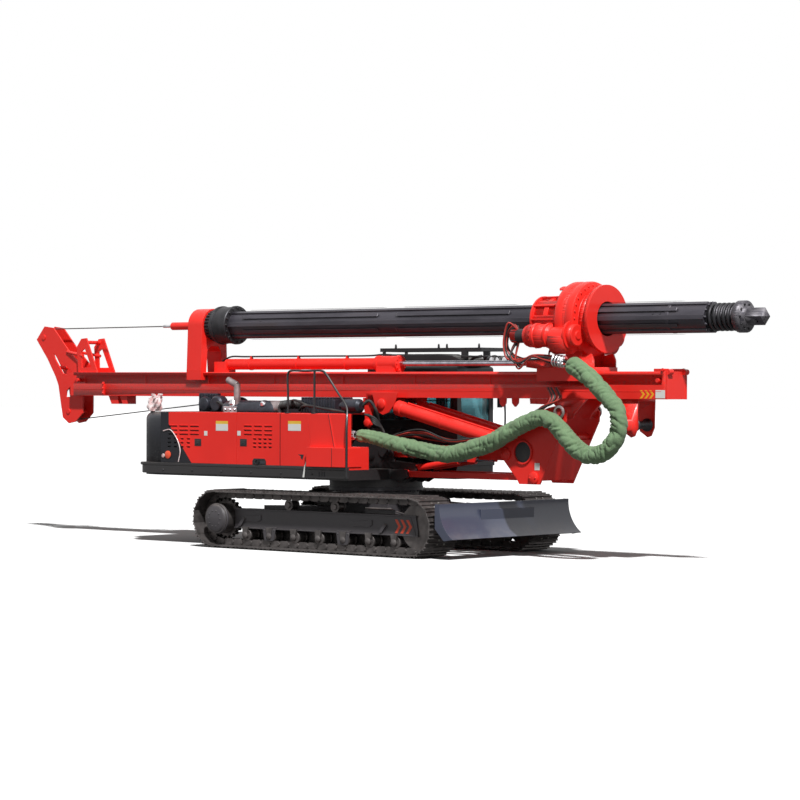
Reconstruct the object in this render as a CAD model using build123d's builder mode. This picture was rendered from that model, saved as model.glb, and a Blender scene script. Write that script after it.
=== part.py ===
from build123d import *
import math
import os

# A tracked rotary piling rig, folded for transport with its mast lying over the machine.
# X is forward, Y is to the left and Z is up. Lengths are in millimetres.
# All places below are measured from the slewing axis and from the ground, and SLEW_X moves
# them so that the origin is under the middle of the whole machine.

# Running gear
TRACK_CENTRES = 3840.0
TRACK_HEIGHT = 866.0
TRACK_WIDTH = 3000.0
SHOE_WIDTH = 650.0
SHOE_COUNT = 54
GROUSER_HEIGHT = 24.0
SHOE_THICKNESS = 16.0
CHAIN_HEIGHT = 93.0
CHAIN_WIDTH = 180.0
ROLLER_RADIUS = 80.0
CARRIER_RADIUS = 68.0
ROLLER_COUNT = 7
FIRST_ROLLER = -TRACK_CENTRES / 2 + 480.0
ROLLER_PITCH = (TRACK_CENTRES - 900.0) / (ROLLER_COUNT - 1)
ROLLER_X = tuple(FIRST_ROLLER + step * ROLLER_PITCH for step in range(ROLLER_COUNT))
GUARDED_ROLLERS = (ROLLER_X[1], ROLLER_X[4])
CARRIER_X = (-TRACK_CENTRES * 0.156, TRACK_CENTRES * 0.083)
FRAME_BOTTOM = 300.0
FRAME_TOP = 585.0
TRACK_Y = TRACK_WIDTH / 2 - SHOE_WIDTH / 2
FRAME_INNER = TRACK_Y - 145.0
FRAME_OUTER = TRACK_Y + 87.0
FRAME_PLATE = 18.0
CARBODY_X = 700.0
CARBODY_Y = 520.0
CARBODY_BOTTOM = 430.0
CARBODY_TOP = 800.0
SLEW_RING_RADIUS = 660.0
RING_BOTTOM = 880.0
RING_JOINT = 935.0

# Dozer blade
BLADE_WIDTH = TRACK_WIDTH - 84.0
BLADE_BACK = TRACK_CENTRES / 2 + TRACK_HEIGHT / 2 + 42.0
BLADE_TOP = (BLADE_BACK + 85.0, 774.0)
BLADE_MIDDLE = (BLADE_BACK + 140.0, 500.0)
BLADE_EDGE = (BLADE_BACK + 325.0, 288.0)
BLADE_PIVOT = (1050.0, 450.0)
BLADE_ARM_Y = 400.0
BLADE_RAM_BASE = (800.0, 705.0)
BLADE_RAM_EYE = (BLADE_BACK - 105.0, 640.0)
BLADE_RAM_Y = 180.0

# Upper structure
UPPER_HALF = 1258.0
DECK_BOTTOM = 1050.0
DECK_TOP = 1200.0
COVER_TOP = 2012.0
COVER_WALL = 40.0
COVER_FRONT = 590.0
TANK_INNER = 820.0
TANK_FRONT = 120.0
STEP_REAR = -200.0
STEP_TOP = 1530.0
REAR_END = -3650.0
BEACON_TOP = 2215.0
WEIGHT_BOTTOM_FRONT = -2570.0
WEIGHT_TOP_FRONT = -3110.0
DOOR_GAP = 6.0
DOOR_SEAM = -1640.0
SEAM_HALF = 5.0
DOOR_FRONT = -750.0

# Cab
CAB_REAR = -560.0
CAB_FRONT = 1210.0
CAB_INNER = 430.0
CAB_FLOOR = 1240.0
CAB_ROOF = 2710.0
CAB_WALL = 50.0
GUARD_Z = 2860.0
GUARD_INNER = 700.0

# Parallelogram: pivots in the plane of the boom
BOOM_FOOT = (350.0, 1460.0)
BOOM_TIP = (2800.0, 1460.0)
LINK_DX = 500.0
LINK_DZ = -324.0
LINK_FOOT = (BOOM_FOOT[0] + LINK_DX, BOOM_FOOT[1] + LINK_DZ)
LINK_TIP = (BOOM_TIP[0] + LINK_DX, BOOM_TIP[1] + LINK_DZ)
BOOM_HALF = 130.0
BOOM_DEPTH = 200.0
LINK_Y = 300.0
LINK_THICKNESS = 50.0
LINK_DEPTH = 86.0
DELTOID_Y = 375.0
DELTOID_PLATE = 30.0
DELTOID_HOLE = (3107.0, 1492.0)
DELTOID_HOLE_RADIUS = 145.0
LUFF_BASE = (930.0, 1215.0)
LUFF_EYE = (2050.0, 1385.0)
LUFF_Y = 190.0

# Mast
MAST_PIVOT = (3770.0, 2060.0)
MAST_TOP = 2623.0
MAST_BOTTOM = 2245.0
MAST_HALF = 233.0
MAST_REAR = -6400.0
MAST_FRONT = 5760.0
FLANGE_THICKNESS = 50.0
WEB_HALF = 165.0
LOWER_BOX_TOP = 2440.0
END_BLOCK = 5430.0
DRAWBAR_LUGS = (2679.0, 2947.0, 3178.0)
RAM_BASE = (3080.0, 1520.0)
RAM_EYE = (420.0, 2150.0)
RAM_Y = 245.0
RAM_RADIUS = 80.0
HEAD_TIP_X = -7430.0
UPPER_SHEAVE = (-7250.0, 3200.0)
LOWER_SHEAVE = (-6640.0, 1985.0)
SHEAVE_RADIUS = 150.0

# Crowd cylinder and rotary head
CROWD_Z = 2745.0
CROWD_REAR = -3100.0
CROWD_GLAND = 90.0
CROWD_ROD_END = 2910.0
SLED_REAR = 3266.0
SLED_FRONT = 4700.0
KELLY_Z = 3352.0
HEAD_BORE = 240.0
MOTOR_Y = 470.0
MOTOR_Z = 3050.0

# Kelly bar
KELLY_RADIUS = 203.0
KEY_HEIGHT = 21.0
KELLY_TIP_X = 6930.0
KELLY_TUBE_END = 6040.0
GUIDE_X = (-3720.0, -3400.0)
SQUARE_SIDE = 166.0
SQUARE_START = 6600.0

# Sleeve round the hoses to the rotary head
SLEEVE_RADIUS = 112.0
# Columns: forward, left and up, at the corners of its route
SLEEVE_ROUTE = (
    (400.0, -860.0, 1700.0),
    (860.0, -720.0, 1625.0),
    (1500.0, -560.0, 1455.0),
    (2200.0, -550.0, 1475.0),
    (2980.0, -550.0, 1760.0),
    (3560.0, -565.0, 2030.0),
    (4300.0, -550.0, 1400.0),
    (4760.0, -550.0, 1500.0),
    (4930.0, -550.0, 1860.0),
    (4800.0, -550.0, 2180.0),
    (4440.0, -550.0, 2500.0),
    (4050.0, -550.0, 2740.0),
)

# Winches
WINCH = (-3120.0, 2000.0)
WINCH_HALF = 320.0
WINCH_FLANGE = 236.0
WELL_FLOOR = 1740.0
FOOT_WINCH = (4860.0, 1890.0)

# Fits
SEAT = 0.3
PIN_GAP = 0.3
SIDE_GAP = 5.0

SLEW_X = -(KELLY_TIP_X + HEAD_TIP_X) / 2


def side(y):
    """Upright plane along the machine at y, drawn with x forward and y up, facing right."""
    return Plane(origin=(SLEW_X, y, 0), x_dir=(1, 0, 0), z_dir=(0, -1, 0))


def level(z):
    """Flat plane at height z, drawn with x forward and y to the left."""
    return Plane(origin=(SLEW_X, 0, z), x_dir=(1, 0, 0), z_dir=(0, 0, 1))


def station(x):
    """Upright plane across the machine at x, drawn with x to the left and y up."""
    return Plane(origin=(SLEW_X + x, 0, 0), x_dir=(0, 1, 0), z_dir=(1, 0, 0))


def outline(plane, points):
    """A face bounded by straight lines through the points."""
    with BuildSketch(plane) as flat:
        with BuildLine():
            Polyline(*points, close=True)
        make_face()
    return flat.sketch


def plate(points, y, thickness, mode=Mode.ADD):
    """A plate standing along the machine, its middle at y."""
    extrude(outline(side(y), points), amount=thickness / 2, both=True, mode=mode)


def slab(points, bottom, top, mode=Mode.ADD):
    """A flat slab with the given plan."""
    extrude(outline(level(bottom), points), amount=top - bottom, mode=mode)


def block(x, y, z, mode=Mode.ADD):
    """A rectangular block between pairs of limits."""
    corners = [(x[0], y[0]), (x[1], y[0]), (x[1], y[1]), (x[0], y[1])]
    slab(corners, z[0], z[1], mode)


def bar(start, end, radius, mode=Mode.ADD):
    """A round bar between two points."""
    base = Vector(SLEW_X + start[0], start[1], start[2])
    run = Vector(end[0] - start[0], end[1] - start[1], end[2] - start[2])
    with BuildSketch(Plane(origin=base, z_dir=run)) as disc:
        Circle(radius)
    extrude(disc.sketch, amount=run.length, mode=mode)


def cross_bar(place, y0, y1, radius, mode=Mode.ADD):
    """A round bar across the machine at a place in the side view."""
    bar((place[0], y0, place[1]), (place[0], y1, place[1]), radius, mode)


def along(start, end, distance):
    """The point at a distance from start towards end, in the side view."""
    length = math.dist(start, end)
    return tuple(a + (b - a) * distance / length for a, b in zip(start, end))


def beam_outline(start, end, depth_start, depth_end):
    """A straight tapered beam's side view."""
    length = math.dist(start, end)
    nx = -(end[1] - start[1]) / length / 2
    nz = (end[0] - start[0]) / length / 2
    return [
        (start[0] + nx * depth_start, start[1] + nz * depth_start),
        (end[0] + nx * depth_end, end[1] + nz * depth_end),
        (end[0] - nx * depth_end, end[1] - nz * depth_end),
        (start[0] - nx * depth_start, start[1] - nz * depth_start),
    ]


def eye(place, y, width, outer, bore):
    """A round eye across the machine with a bore for its pin."""
    cross_bar(place, y - width / 2, y + width / 2, outer)
    cross_bar(place, y - width / 2 - 1, y + width / 2 + 1, bore, Mode.SUBTRACT)


def cylinder_barrel(base, tip, y, width, radius, pin, length):
    """A hydraulic cylinder's barrel with its base eye, bored for the rod from its open end."""
    start = along(base, tip, radius * 0.7)
    end = along(base, tip, length)
    gland = along(base, tip, length - 90)
    bar((start[0], y, start[1]), (end[0], y, end[1]), radius)
    bar((gland[0], y, gland[1]), (end[0], y, end[1]), radius * 1.14)
    cross_bar(base, y - width / 2, y + width / 2, radius * 0.95)
    cross_bar(base, y - width / 2 - 1, y + width / 2 + 1, pin + PIN_GAP, Mode.SUBTRACT)


def cylinder_rod(base, tip, y, width, radius, pin, inside):
    """A rod with its eye, reaching into the barrel, and its own pin through the eye."""
    start = along(base, tip, inside)
    end = along(base, tip, math.dist(base, tip) - pin)
    bar((start[0], y, start[1]), (end[0], y, end[1]), radius)
    cross_bar(tip, y - width / 2, y + width / 2, pin * 1.9)


def rod_bore(base, tip, y, radius, inside, length):
    """The bore that the rod runs in."""
    start = along(base, tip, inside)
    end = along(base, tip, length + 1)
    bar((start[0], y, start[1]), (end[0], y, end[1]), radius, Mode.SUBTRACT)


def stadium_point(distance, height, half_length, radius):
    """The point at a distance along a loop of two straights and two half circles."""
    straight = 2 * half_length
    bend = math.pi * radius
    d = distance % (2 * straight + 2 * bend)
    centre_z = TRACK_HEIGHT / 2
    if d < straight:
        return (d - half_length, centre_z - radius - height)
    d -= straight
    if d < bend:
        turn = d / radius - math.pi / 2
        reach = radius + height
        return (half_length + reach * math.cos(turn), centre_z + reach * math.sin(turn))
    d -= bend
    if d < straight:
        return (half_length - d, centre_z + radius + height)
    d -= straight
    turn = d / radius + math.pi / 2
    reach = radius + height
    return (-half_length + reach * math.cos(turn), centre_z + reach * math.sin(turn))


# Columns: place along the shoe as a share of its pitch, height as a share of the grouser
GROUSER_PROFILE = (
    (0.04, 0.0),
    (0.10, 1.0),
    (0.17, 0.0),
    (0.44, 0.0),
    (0.50, 1.0),
    (0.57, 0.0),
    (0.84, 0.0),
    (0.90, 1.0),
    (0.97, 0.0),
)
SHOE_RADIUS = TRACK_HEIGHT / 2 - GROUSER_HEIGHT
CHAIN_RADIUS = SHOE_RADIUS - SHOE_THICKNESS - CHAIN_HEIGHT
LOOP_LENGTH = 2 * TRACK_CENTRES + 2 * math.pi * SHOE_RADIUS
SHOE_PITCH = LOOP_LENGTH / SHOE_COUNT


def shoe_outline():
    """Every shoe of a track in turn, each with three grousers."""
    points = []
    for shoe in range(SHOE_COUNT):
        for share, height in GROUSER_PROFILE:
            distance = (shoe + share) * SHOE_PITCH
            lift = height * GROUSER_HEIGHT
            points.append(stadium_point(distance, lift, TRACK_CENTRES / 2, SHOE_RADIUS))
    return points


def track_loop(y):
    """A track: the shoes as one band round the chain of links."""
    plate(shoe_outline(), y, SHOE_WIDTH)
    centre = (SLEW_X, y, TRACK_HEIGHT / 2)
    hollow = Plane(origin=centre, x_dir=(1, 0, 0), z_dir=(0, -1, 0))
    inner = SHOE_RADIUS - SHOE_THICKNESS
    with BuildSketch(hollow) as band:
        SlotCenterToCenter(TRACK_CENTRES, 2 * inner)
    extrude(band.sketch, amount=SHOE_WIDTH, both=True, mode=Mode.SUBTRACT)
    with BuildSketch(hollow) as chain:
        SlotCenterToCenter(TRACK_CENTRES, 2 * inner + 4)
        SlotCenterToCenter(TRACK_CENTRES, 2 * CHAIN_RADIUS, mode=Mode.SUBTRACT)
    extrude(chain.sketch, amount=CHAIN_WIDTH / 2, both=True)


with BuildPart() as left_track:
    track_loop(TRACK_Y)
left_track.part.label = "left_track"
export_step(left_track.part, "parts/left_track.step")

with BuildPart() as right_track:
    track_loop(-TRACK_Y)
right_track.part.label = "right_track"
export_step(right_track.part, "parts/right_track.step")

# Track wheels: toothed sprockets with their drive hubs at the rear, idlers in front
SPROCKET_TEETH = 21
HUB_RADIUS = 221.0
HUB_OUTER = TRACK_WIDTH / 2 - 39.0
TRACK_MID = TRACK_HEIGHT / 2
WHEEL_RADIUS = CHAIN_RADIUS - SEAT
with BuildPart() as track_wheels:
    for hand in (-1, 1):
        sprocket = (-TRACK_CENTRES / 2, TRACK_MID)
        idler = (TRACK_CENTRES / 2, TRACK_MID)
        with BuildSketch(side(hand * TRACK_Y)) as wheel:
            with Locations(sprocket):
                Circle(WHEEL_RADIUS - 34)
                with PolarLocations(WHEEL_RADIUS - 22, SPROCKET_TEETH):
                    Rectangle(40, 34)
        extrude(wheel.sketch, amount=36, both=True)
        cross_bar(sprocket, hand * (FRAME_INNER + FRAME_PLATE), hand * (TRACK_Y + 60), 180)
        cross_bar(sprocket, hand * TRACK_Y, hand * (HUB_OUTER - 25), HUB_RADIUS)
        cross_bar(sprocket, hand * TRACK_Y, hand * HUB_OUTER, HUB_RADIUS - 30)
        cross_bar(idler, hand * (TRACK_Y - 55), hand * (TRACK_Y + 55), WHEEL_RADIUS)
        shaft_end = FRAME_OUTER - FRAME_PLATE
        cross_bar(idler, hand * (FRAME_INNER + FRAME_PLATE), hand * shaft_end, 90)
track_wheels.part.label = "track_wheels"
export_step(track_wheels.part, "parts/track_wheels.step")

# Rollers: the lower ones stand on the chain, the carriers hold it up
ROLLER_Z = TRACK_MID - CHAIN_RADIUS + SEAT + ROLLER_RADIUS
CARRIER_Z = TRACK_MID + CHAIN_RADIUS - SEAT - CARRIER_RADIUS
with BuildPart() as rollers:
    for hand in (-1, 1):
        for x in ROLLER_X:
            centre = (x, ROLLER_Z)
            cross_bar(centre, hand * TRACK_Y - 72, hand * TRACK_Y + 72, ROLLER_RADIUS)
            for end in (-1, 1):
                y = hand * TRACK_Y + end * 80
                block((x - 38, x + 38), (y - 12, y + 12), (ROLLER_Z - 38, FRAME_BOTTOM))
        for x in CARRIER_X:
            centre = (x, CARRIER_Z)
            cross_bar(centre, hand * TRACK_Y - 60, hand * TRACK_Y + 60, CARRIER_RADIUS)
rollers.part.label = "rollers"
export_step(rollers.part, "parts/rollers.step")

# Carbody: the box under the slewing ring, its four legs and the two track frames
with BuildPart() as carbody:
    block((-CARBODY_X, CARBODY_X), (-CARBODY_Y, CARBODY_Y), (CARBODY_BOTTOM, CARBODY_TOP))
    bar((0, 0, CARBODY_TOP - 20), (0, 0, RING_BOTTOM + 5), SLEW_RING_RADIUS - 20)
    bar((0, 0, RING_BOTTOM), (0, 0, RING_JOINT), SLEW_RING_RADIUS)
    for fore in (-1, 1):
        for hand in (-1, 1):
            leg = [
                (fore * 200, hand * (CARBODY_Y - 60)),
                (fore * (CARBODY_X - 10), hand * (CARBODY_Y - 60)),
                (fore * 1300, hand * (FRAME_INNER + 10)),
                (fore * 720, hand * (FRAME_INNER + 10)),
            ]
            slab(leg, CARBODY_BOTTOM, CARBODY_BOTTOM + 210)
    for hand in (-1, 1):
        wheel_clear = TRACK_CENTRES / 2 - CHAIN_RADIUS - 15
        inner = hand * FRAME_INNER
        outer = hand * (FRAME_OUTER - FRAME_PLATE / 2)
        body_y = sorted((inner, outer))
        block((-wheel_clear, wheel_clear), body_y, (FRAME_BOTTOM, FRAME_TOP))
        panel = [
            (-TRACK_CENTRES / 2 + HUB_RADIUS + 12, FRAME_BOTTOM),
            (-TRACK_CENTRES / 2 + HUB_RADIUS + 12, FRAME_TOP),
            (TRACK_CENTRES / 2 - 40, FRAME_TOP),
            (TRACK_CENTRES / 2 + 10, FRAME_BOTTOM),
        ]
        plate(panel, hand * (FRAME_OUTER - FRAME_PLATE / 2), FRAME_PLATE)
        cheek = [
            (-TRACK_CENTRES / 2 - 150, TRACK_MID - 150),
            (-TRACK_CENTRES / 2 - 150, TRACK_MID + 150),
            (TRACK_CENTRES / 2 + 10, TRACK_MID + 130),
            (TRACK_CENTRES / 2 + 10, TRACK_MID - 130),
        ]
        plate(cheek, hand * (FRAME_INNER + FRAME_PLATE / 2), FRAME_PLATE)
        for x in GUARDED_ROLLERS:
            guard = [
                (x - 125, FRAME_BOTTOM),
                (x + 125, FRAME_BOTTOM),
                (x + 95, ROLLER_Z - 45),
                (x - 95, ROLLER_Z - 45),
            ]
            plate(guard, hand * (FRAME_OUTER + 27), 14)
            block(
                (x - 125, x + 125),
                sorted((hand * (FRAME_OUTER - 4), hand * (FRAME_OUTER + 30))),
                (FRAME_BOTTOM, FRAME_BOTTOM + 30),
            )
        for x in CARRIER_X:
            stand_y = sorted((hand * (TRACK_Y - 84), hand * (TRACK_Y - 62)))
            block((x - 45, x + 45), stand_y, (FRAME_TOP - 5, CARRIER_Z + 30))
    for hand in (-1, 1):
        for lug in (-1, 1):
            y = hand * BLADE_ARM_Y + lug * 67
            ear = [
                (CARBODY_X - 20, CARBODY_BOTTOM + 10),
                (CARBODY_X - 20, CARBODY_BOTTOM + 160),
                (BLADE_PIVOT[0] + 60, BLADE_PIVOT[1] + 60),
                (BLADE_PIVOT[0] + 75, BLADE_PIVOT[1] - 30),
                (BLADE_PIVOT[0], BLADE_PIVOT[1] - 70),
            ]
            plate(ear, y, 24)
        pin_y = sorted((hand * (BLADE_ARM_Y - 79), hand * (BLADE_ARM_Y + 79)))
        cross_bar(BLADE_PIVOT, pin_y[0], pin_y[1], 30)
        for lug in (-1, 1):
            y = hand * BLADE_RAM_Y + lug * 67
            ear = [
                (CARBODY_X - 10, BLADE_RAM_BASE[1] - 70),
                (CARBODY_X - 10, CARBODY_TOP),
                (BLADE_RAM_BASE[0] + 40, BLADE_RAM_BASE[1] + 45),
                (BLADE_RAM_BASE[0] + 45, BLADE_RAM_BASE[1] - 35),
            ]
            plate(ear, y, 20)
        pin_y = sorted((hand * (BLADE_RAM_Y - 77), hand * (BLADE_RAM_Y + 77)))
        cross_bar(BLADE_RAM_BASE, pin_y[0], pin_y[1], 25)
carbody.part.label = "carbody"
export_step(carbody.part, "parts/carbody.step")

# Dozer blade: curved mouldboard, end plates, back beam and two push arms
with BuildPart() as dozer_blade:
    with BuildSketch(side(0)) as mouldboard:
        with BuildLine():
            ThreePointArc(BLADE_TOP, BLADE_MIDDLE, BLADE_EDGE)
            Line(BLADE_EDGE, (BLADE_EDGE[0] - 30, BLADE_EDGE[1] - 8))
            ThreePointArc(
                (BLADE_EDGE[0] - 30, BLADE_EDGE[1] - 8),
                (BLADE_MIDDLE[0] - 30, BLADE_MIDDLE[1] - 8),
                (BLADE_TOP[0] - 30, BLADE_TOP[1]),
            )
            Line((BLADE_TOP[0] - 30, BLADE_TOP[1]), BLADE_TOP)
        make_face()
    extrude(mouldboard.sketch, amount=BLADE_WIDTH / 2, both=True)
    for hand in (-1, 1):
        with BuildSketch(side(hand * (BLADE_WIDTH / 2 - 10))) as end_plate:
            with BuildLine():
                ThreePointArc(BLADE_TOP, BLADE_MIDDLE, BLADE_EDGE)
                Polyline(BLADE_EDGE, (BLADE_BACK + 165, 262), (BLADE_BACK, 430), (BLADE_BACK, 774), BLADE_TOP)
            make_face()
        extrude(end_plate.sketch, amount=10, both=True)
    block((BLADE_BACK, BLADE_BACK + 135), (-BLADE_WIDTH / 2 + 10, BLADE_WIDTH / 2 - 10), (430, 470))
    block((BLADE_BACK, BLADE_BACK + 80), (-BLADE_WIDTH / 2 + 10, BLADE_WIDTH / 2 - 10), (640, 680))
    block((BLADE_BACK, BLADE_BACK + 125), (-600, 600), (430, 680))
    for hand in (-1, 1):
        arm = [
            (BLADE_PIVOT[0] - 70, BLADE_PIVOT[1] - 45),
            (BLADE_PIVOT[0] - 70, BLADE_PIVOT[1] + 45),
            (BLADE_BACK + 20, 620),
            (BLADE_BACK + 20, 440),
            (BLADE_BACK - 395, 400),
        ]
        plate(arm, hand * BLADE_ARM_Y, 100)
        y = hand * BLADE_ARM_Y
        cross_bar(BLADE_PIVOT, y - 51, y + 51, 30 + PIN_GAP, Mode.SUBTRACT)
        for lug in (-1, 1):
            ear = [
                (BLADE_BACK + 10, BLADE_RAM_EYE[1] - 90),
                (BLADE_BACK + 10, BLADE_RAM_EYE[1] + 60),
                (BLADE_RAM_EYE[0] - 30, BLADE_RAM_EYE[1] + 50),
                (BLADE_RAM_EYE[0] - 45, BLADE_RAM_EYE[1] - 30),
            ]
            plate(ear, hand * BLADE_RAM_Y + lug * 67, 20)
dozer_blade.part.label = "dozer_blade"
export_step(dozer_blade.part, "parts/dozer_blade.step")

BLADE_BARREL_LENGTH = BLADE_RAM_EYE[0] - BLADE_RAM_BASE[0] - 590.0
with BuildPart() as blade_barrels:
    for hand in (-1, 1):
        y = hand * BLADE_RAM_Y
        cylinder_barrel(BLADE_RAM_BASE, BLADE_RAM_EYE, y, 110, 52, 25, BLADE_BARREL_LENGTH)
        rod_bore(BLADE_RAM_BASE, BLADE_RAM_EYE, y, 30.3, 350, BLADE_BARREL_LENGTH)
blade_barrels.part.label = "blade_barrels"
export_step(blade_barrels.part, "parts/blade_barrels.step")

with BuildPart() as blade_rods:
    for hand in (-1, 1):
        y = hand * BLADE_RAM_Y
        cylinder_rod(BLADE_RAM_BASE, BLADE_RAM_EYE, y, 110, 30, 25, 650)
blade_rods.part.label = "blade_rods"
export_step(blade_rods.part, "parts/blade_rods.step")

DOOR_BOTTOM = DECK_TOP + DOOR_GAP
DOOR_TOP = COVER_TOP - 45.0
HINGE_RADIUS = 10.0
HINGE_HEIGHT = 60.0
HINGE_Y = UPPER_HALF + 12.0
REAR_HINGE_X = DOOR_SEAM - SEAM_HALF - 5.0
FRONT_HINGE_X = DOOR_FRONT - DOOR_GAP / 2 - 10.0
CAB_HINGE_X = 230.0 + DOOR_GAP + 10.0


def hinge_half(x, hand, reach, bottom, top):
    """Half of a door hinge on the outer face, its leaf reaching along the face."""
    bar((x, hand * HINGE_Y, bottom), (x, hand * HINGE_Y, top), HINGE_RADIUS)
    leaf_y = sorted((hand * (UPPER_HALF - 2), hand * HINGE_Y))
    block(sorted((x, x + reach)), leaf_y, (bottom, top))


# Deck of the upper structure with its boom and link brackets
with BuildPart() as deck:
    with BuildSketch(level(DECK_BOTTOM)) as plan:
        with BuildLine():
            Polyline(
                (WEIGHT_BOTTOM_FRONT - 250, -UPPER_HALF),
                (COVER_FRONT, -UPPER_HALF),
                (COVER_FRONT, -TANK_INNER),
                (COVER_FRONT, CAB_INNER - 20),
                (CAB_FRONT, CAB_INNER - 20),
                (CAB_FRONT, UPPER_HALF),
                (WEIGHT_BOTTOM_FRONT - 250, UPPER_HALF),
                close=True,
            )
        make_face()
    extrude(plan.sketch, amount=DECK_TOP - DECK_BOTTOM)
    bar((0, 0, RING_JOINT + 0.5), (0, 0, DECK_BOTTOM + 10), SLEW_RING_RADIUS + 30)
    for hand in (-1, 1):
        tower = [
            (-560, DECK_TOP - 10),
            (-160, 1690),
            (120, 1790),
            (300, 1780),
            (440, 1600),
            (COVER_FRONT - 20, 1290),
            (COVER_FRONT - 20, DECK_TOP - 10),
        ]
        plate(tower, hand * 205, 30)
        cross_bar(BOOM_FOOT, hand * 175, hand * 235, 95)
        nose = [
            (COVER_FRONT - 100, DECK_BOTTOM + 5),
            (COVER_FRONT - 100, DECK_TOP + 120),
            (LUFF_BASE[0] + 40, LUFF_BASE[1] + 75),
            (LUFF_BASE[0] + 95, LUFF_BASE[1] - 20),
            (LINK_FOOT[0] + 90, LINK_FOOT[1] - 60),
            (LINK_FOOT[0] - 40, LINK_FOOT[1] - 130),
        ]
        plate(nose, hand * 252, 30)
        plate(nose, hand * 118, 24)
        ear = [
            (COVER_FRONT - 100, DECK_BOTTOM + 5),
            (COVER_FRONT - 100, DECK_TOP - 5),
            (LINK_FOOT[0] + 60, LINK_FOOT[1] + 65),
            (LINK_FOOT[0] + 90, LINK_FOOT[1] - 40),
            (LINK_FOOT[0] - 40, LINK_FOOT[1] - 90),
        ]
        plate(ear, hand * 345, 30)
        cross_bar(LINK_FOOT, hand * 240, hand * 360, 35)
        cross_bar(LUFF_BASE, hand * 106, hand * 265, 35)
    cross_bar(BOOM_FOOT, -235, 235, 50)
    for x in (REAR_HINGE_X, FRONT_HINGE_X):
        for hand in (-1, 1):
            hinge_half(x, hand, -25, DECK_TOP - 40, DOOR_BOTTOM - 0.2)
deck.part.label = "deck"
export_step(deck.part, "parts/deck.step")

SLANT = (WEIGHT_TOP_FRONT - WEIGHT_BOTTOM_FRONT) / (COVER_TOP - DECK_TOP)


def weight_front(z):
    """Where the counterweight's slanted front edge stands at a height."""
    return WEIGHT_BOTTOM_FRONT + SLANT * (z - DECK_TOP)


# Counterweight with round rear corners, side wings with slanted fronts and a winch well
with BuildPart() as counterweight:
    with BuildSketch(level(DECK_BOTTOM)) as plan:
        with BuildLine():
            Polyline(
                (WEIGHT_BOTTOM_FRONT - 250.5, -UPPER_HALF),
                (WEIGHT_BOTTOM_FRONT - 250.5, UPPER_HALF),
                (REAR_END, UPPER_HALF),
                (REAR_END, -UPPER_HALF),
                close=True,
            )
        make_face()
        rear = plan.vertices().group_by(Axis.X)[0]
        fillet(rear, 420)
    extrude(plan.sketch, amount=COVER_TOP - DECK_BOTTOM)
    fillet(edges().filter_by(Plane.XY).group_by(Axis.Z)[-1].sort_by(Axis.X)[:3], 110)
    front_space = (DECK_TOP, COVER_TOP + 1)
    block((-2900, -2700), (-881, 881), front_space, Mode.SUBTRACT)
    for hand in (-1, 1):
        beside = sorted((hand * 880, hand * (UPPER_HALF - 60)))
        block((WEIGHT_TOP_FRONT, -2700), beside, front_space, Mode.SUBTRACT)
    well_y = (-WINCH_HALF - 80, WINCH_HALF + 260)
    block((-3440, -2700), well_y, (WELL_FLOOR, COVER_TOP + 1), Mode.SUBTRACT)
    for hand in (-1, 1):
        bottom = DECK_TOP + 0.5
        over = COVER_TOP + 1
        wing = [
            (WEIGHT_BOTTOM_FRONT - 300, bottom),
            (weight_front(bottom), bottom),
            (weight_front(COVER_TOP), COVER_TOP),
            (WEIGHT_TOP_FRONT - 60, COVER_TOP),
        ]
        plate(wing, hand * (UPPER_HALF - 30), 60)
        gap = [
            (weight_front(bottom), bottom),
            (WEIGHT_BOTTOM_FRONT + 400, bottom),
            (WEIGHT_TOP_FRONT + 700, over),
            (weight_front(over), over),
        ]
        plate(gap, hand * (UPPER_HALF - 30), 62, Mode.SUBTRACT)
    for hand in (-1, 1):
        cheek = [(-3300, WELL_FLOOR - 5), (-2940, WELL_FLOOR - 5), (-3020, 2130), (-3220, 2130)]
        plate(cheek, hand * (WINCH_HALF + 45), 30)
    cross_bar(WINCH, WINCH_HALF + 60, WINCH_HALF + 230, 90)
    bar((-3440, -1110, COVER_TOP - 60), (-3440, -1110, BEACON_TOP), 32)
    bar((-3440, -1110, BEACON_TOP - 120), (-3440, -1110, BEACON_TOP), 55)
counterweight.part.label = "counterweight"
export_step(counterweight.part, "parts/counterweight.step")

# Engine doors: two on the right and their two fellows on the left, with louvres


def louvres(centre, y):
    """Rows of wide slots above rows of small ones, cut through a door."""
    for row in range(3):
        for slot in range(3):
            x = centre + (slot - 1) * 205
            z = 1860 - row * 62
            block((x - 92, x + 92), (y - 60, y + 60), (z - 16, z + 16), Mode.SUBTRACT)
    for row in range(3):
        for slot in range(4):
            x = centre - 100 + slot * 125
            z = 1660 - row * 62
            block((x - 32, x + 32), (y - 60, y + 60), (z - 16, z + 16), Mode.SUBTRACT)


def rear_door(hand):
    """The door beside the counterweight, its rear edge slanted."""
    y = hand * (UPPER_HALF - COVER_WALL / 2)
    shape = [
        (weight_front(DOOR_BOTTOM) + DOOR_GAP, DOOR_BOTTOM),
        (DOOR_SEAM - SEAM_HALF, DOOR_BOTTOM),
        (DOOR_SEAM - SEAM_HALF, DOOR_TOP),
        (weight_front(DOOR_TOP) + DOOR_GAP, DOOR_TOP),
    ]
    plate(shape, y, COVER_WALL)
    louvres(-2560, y)
    hinge_half(REAR_HINGE_X, hand, -25, DOOR_BOTTOM, DOOR_BOTTOM + HINGE_HEIGHT)


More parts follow.
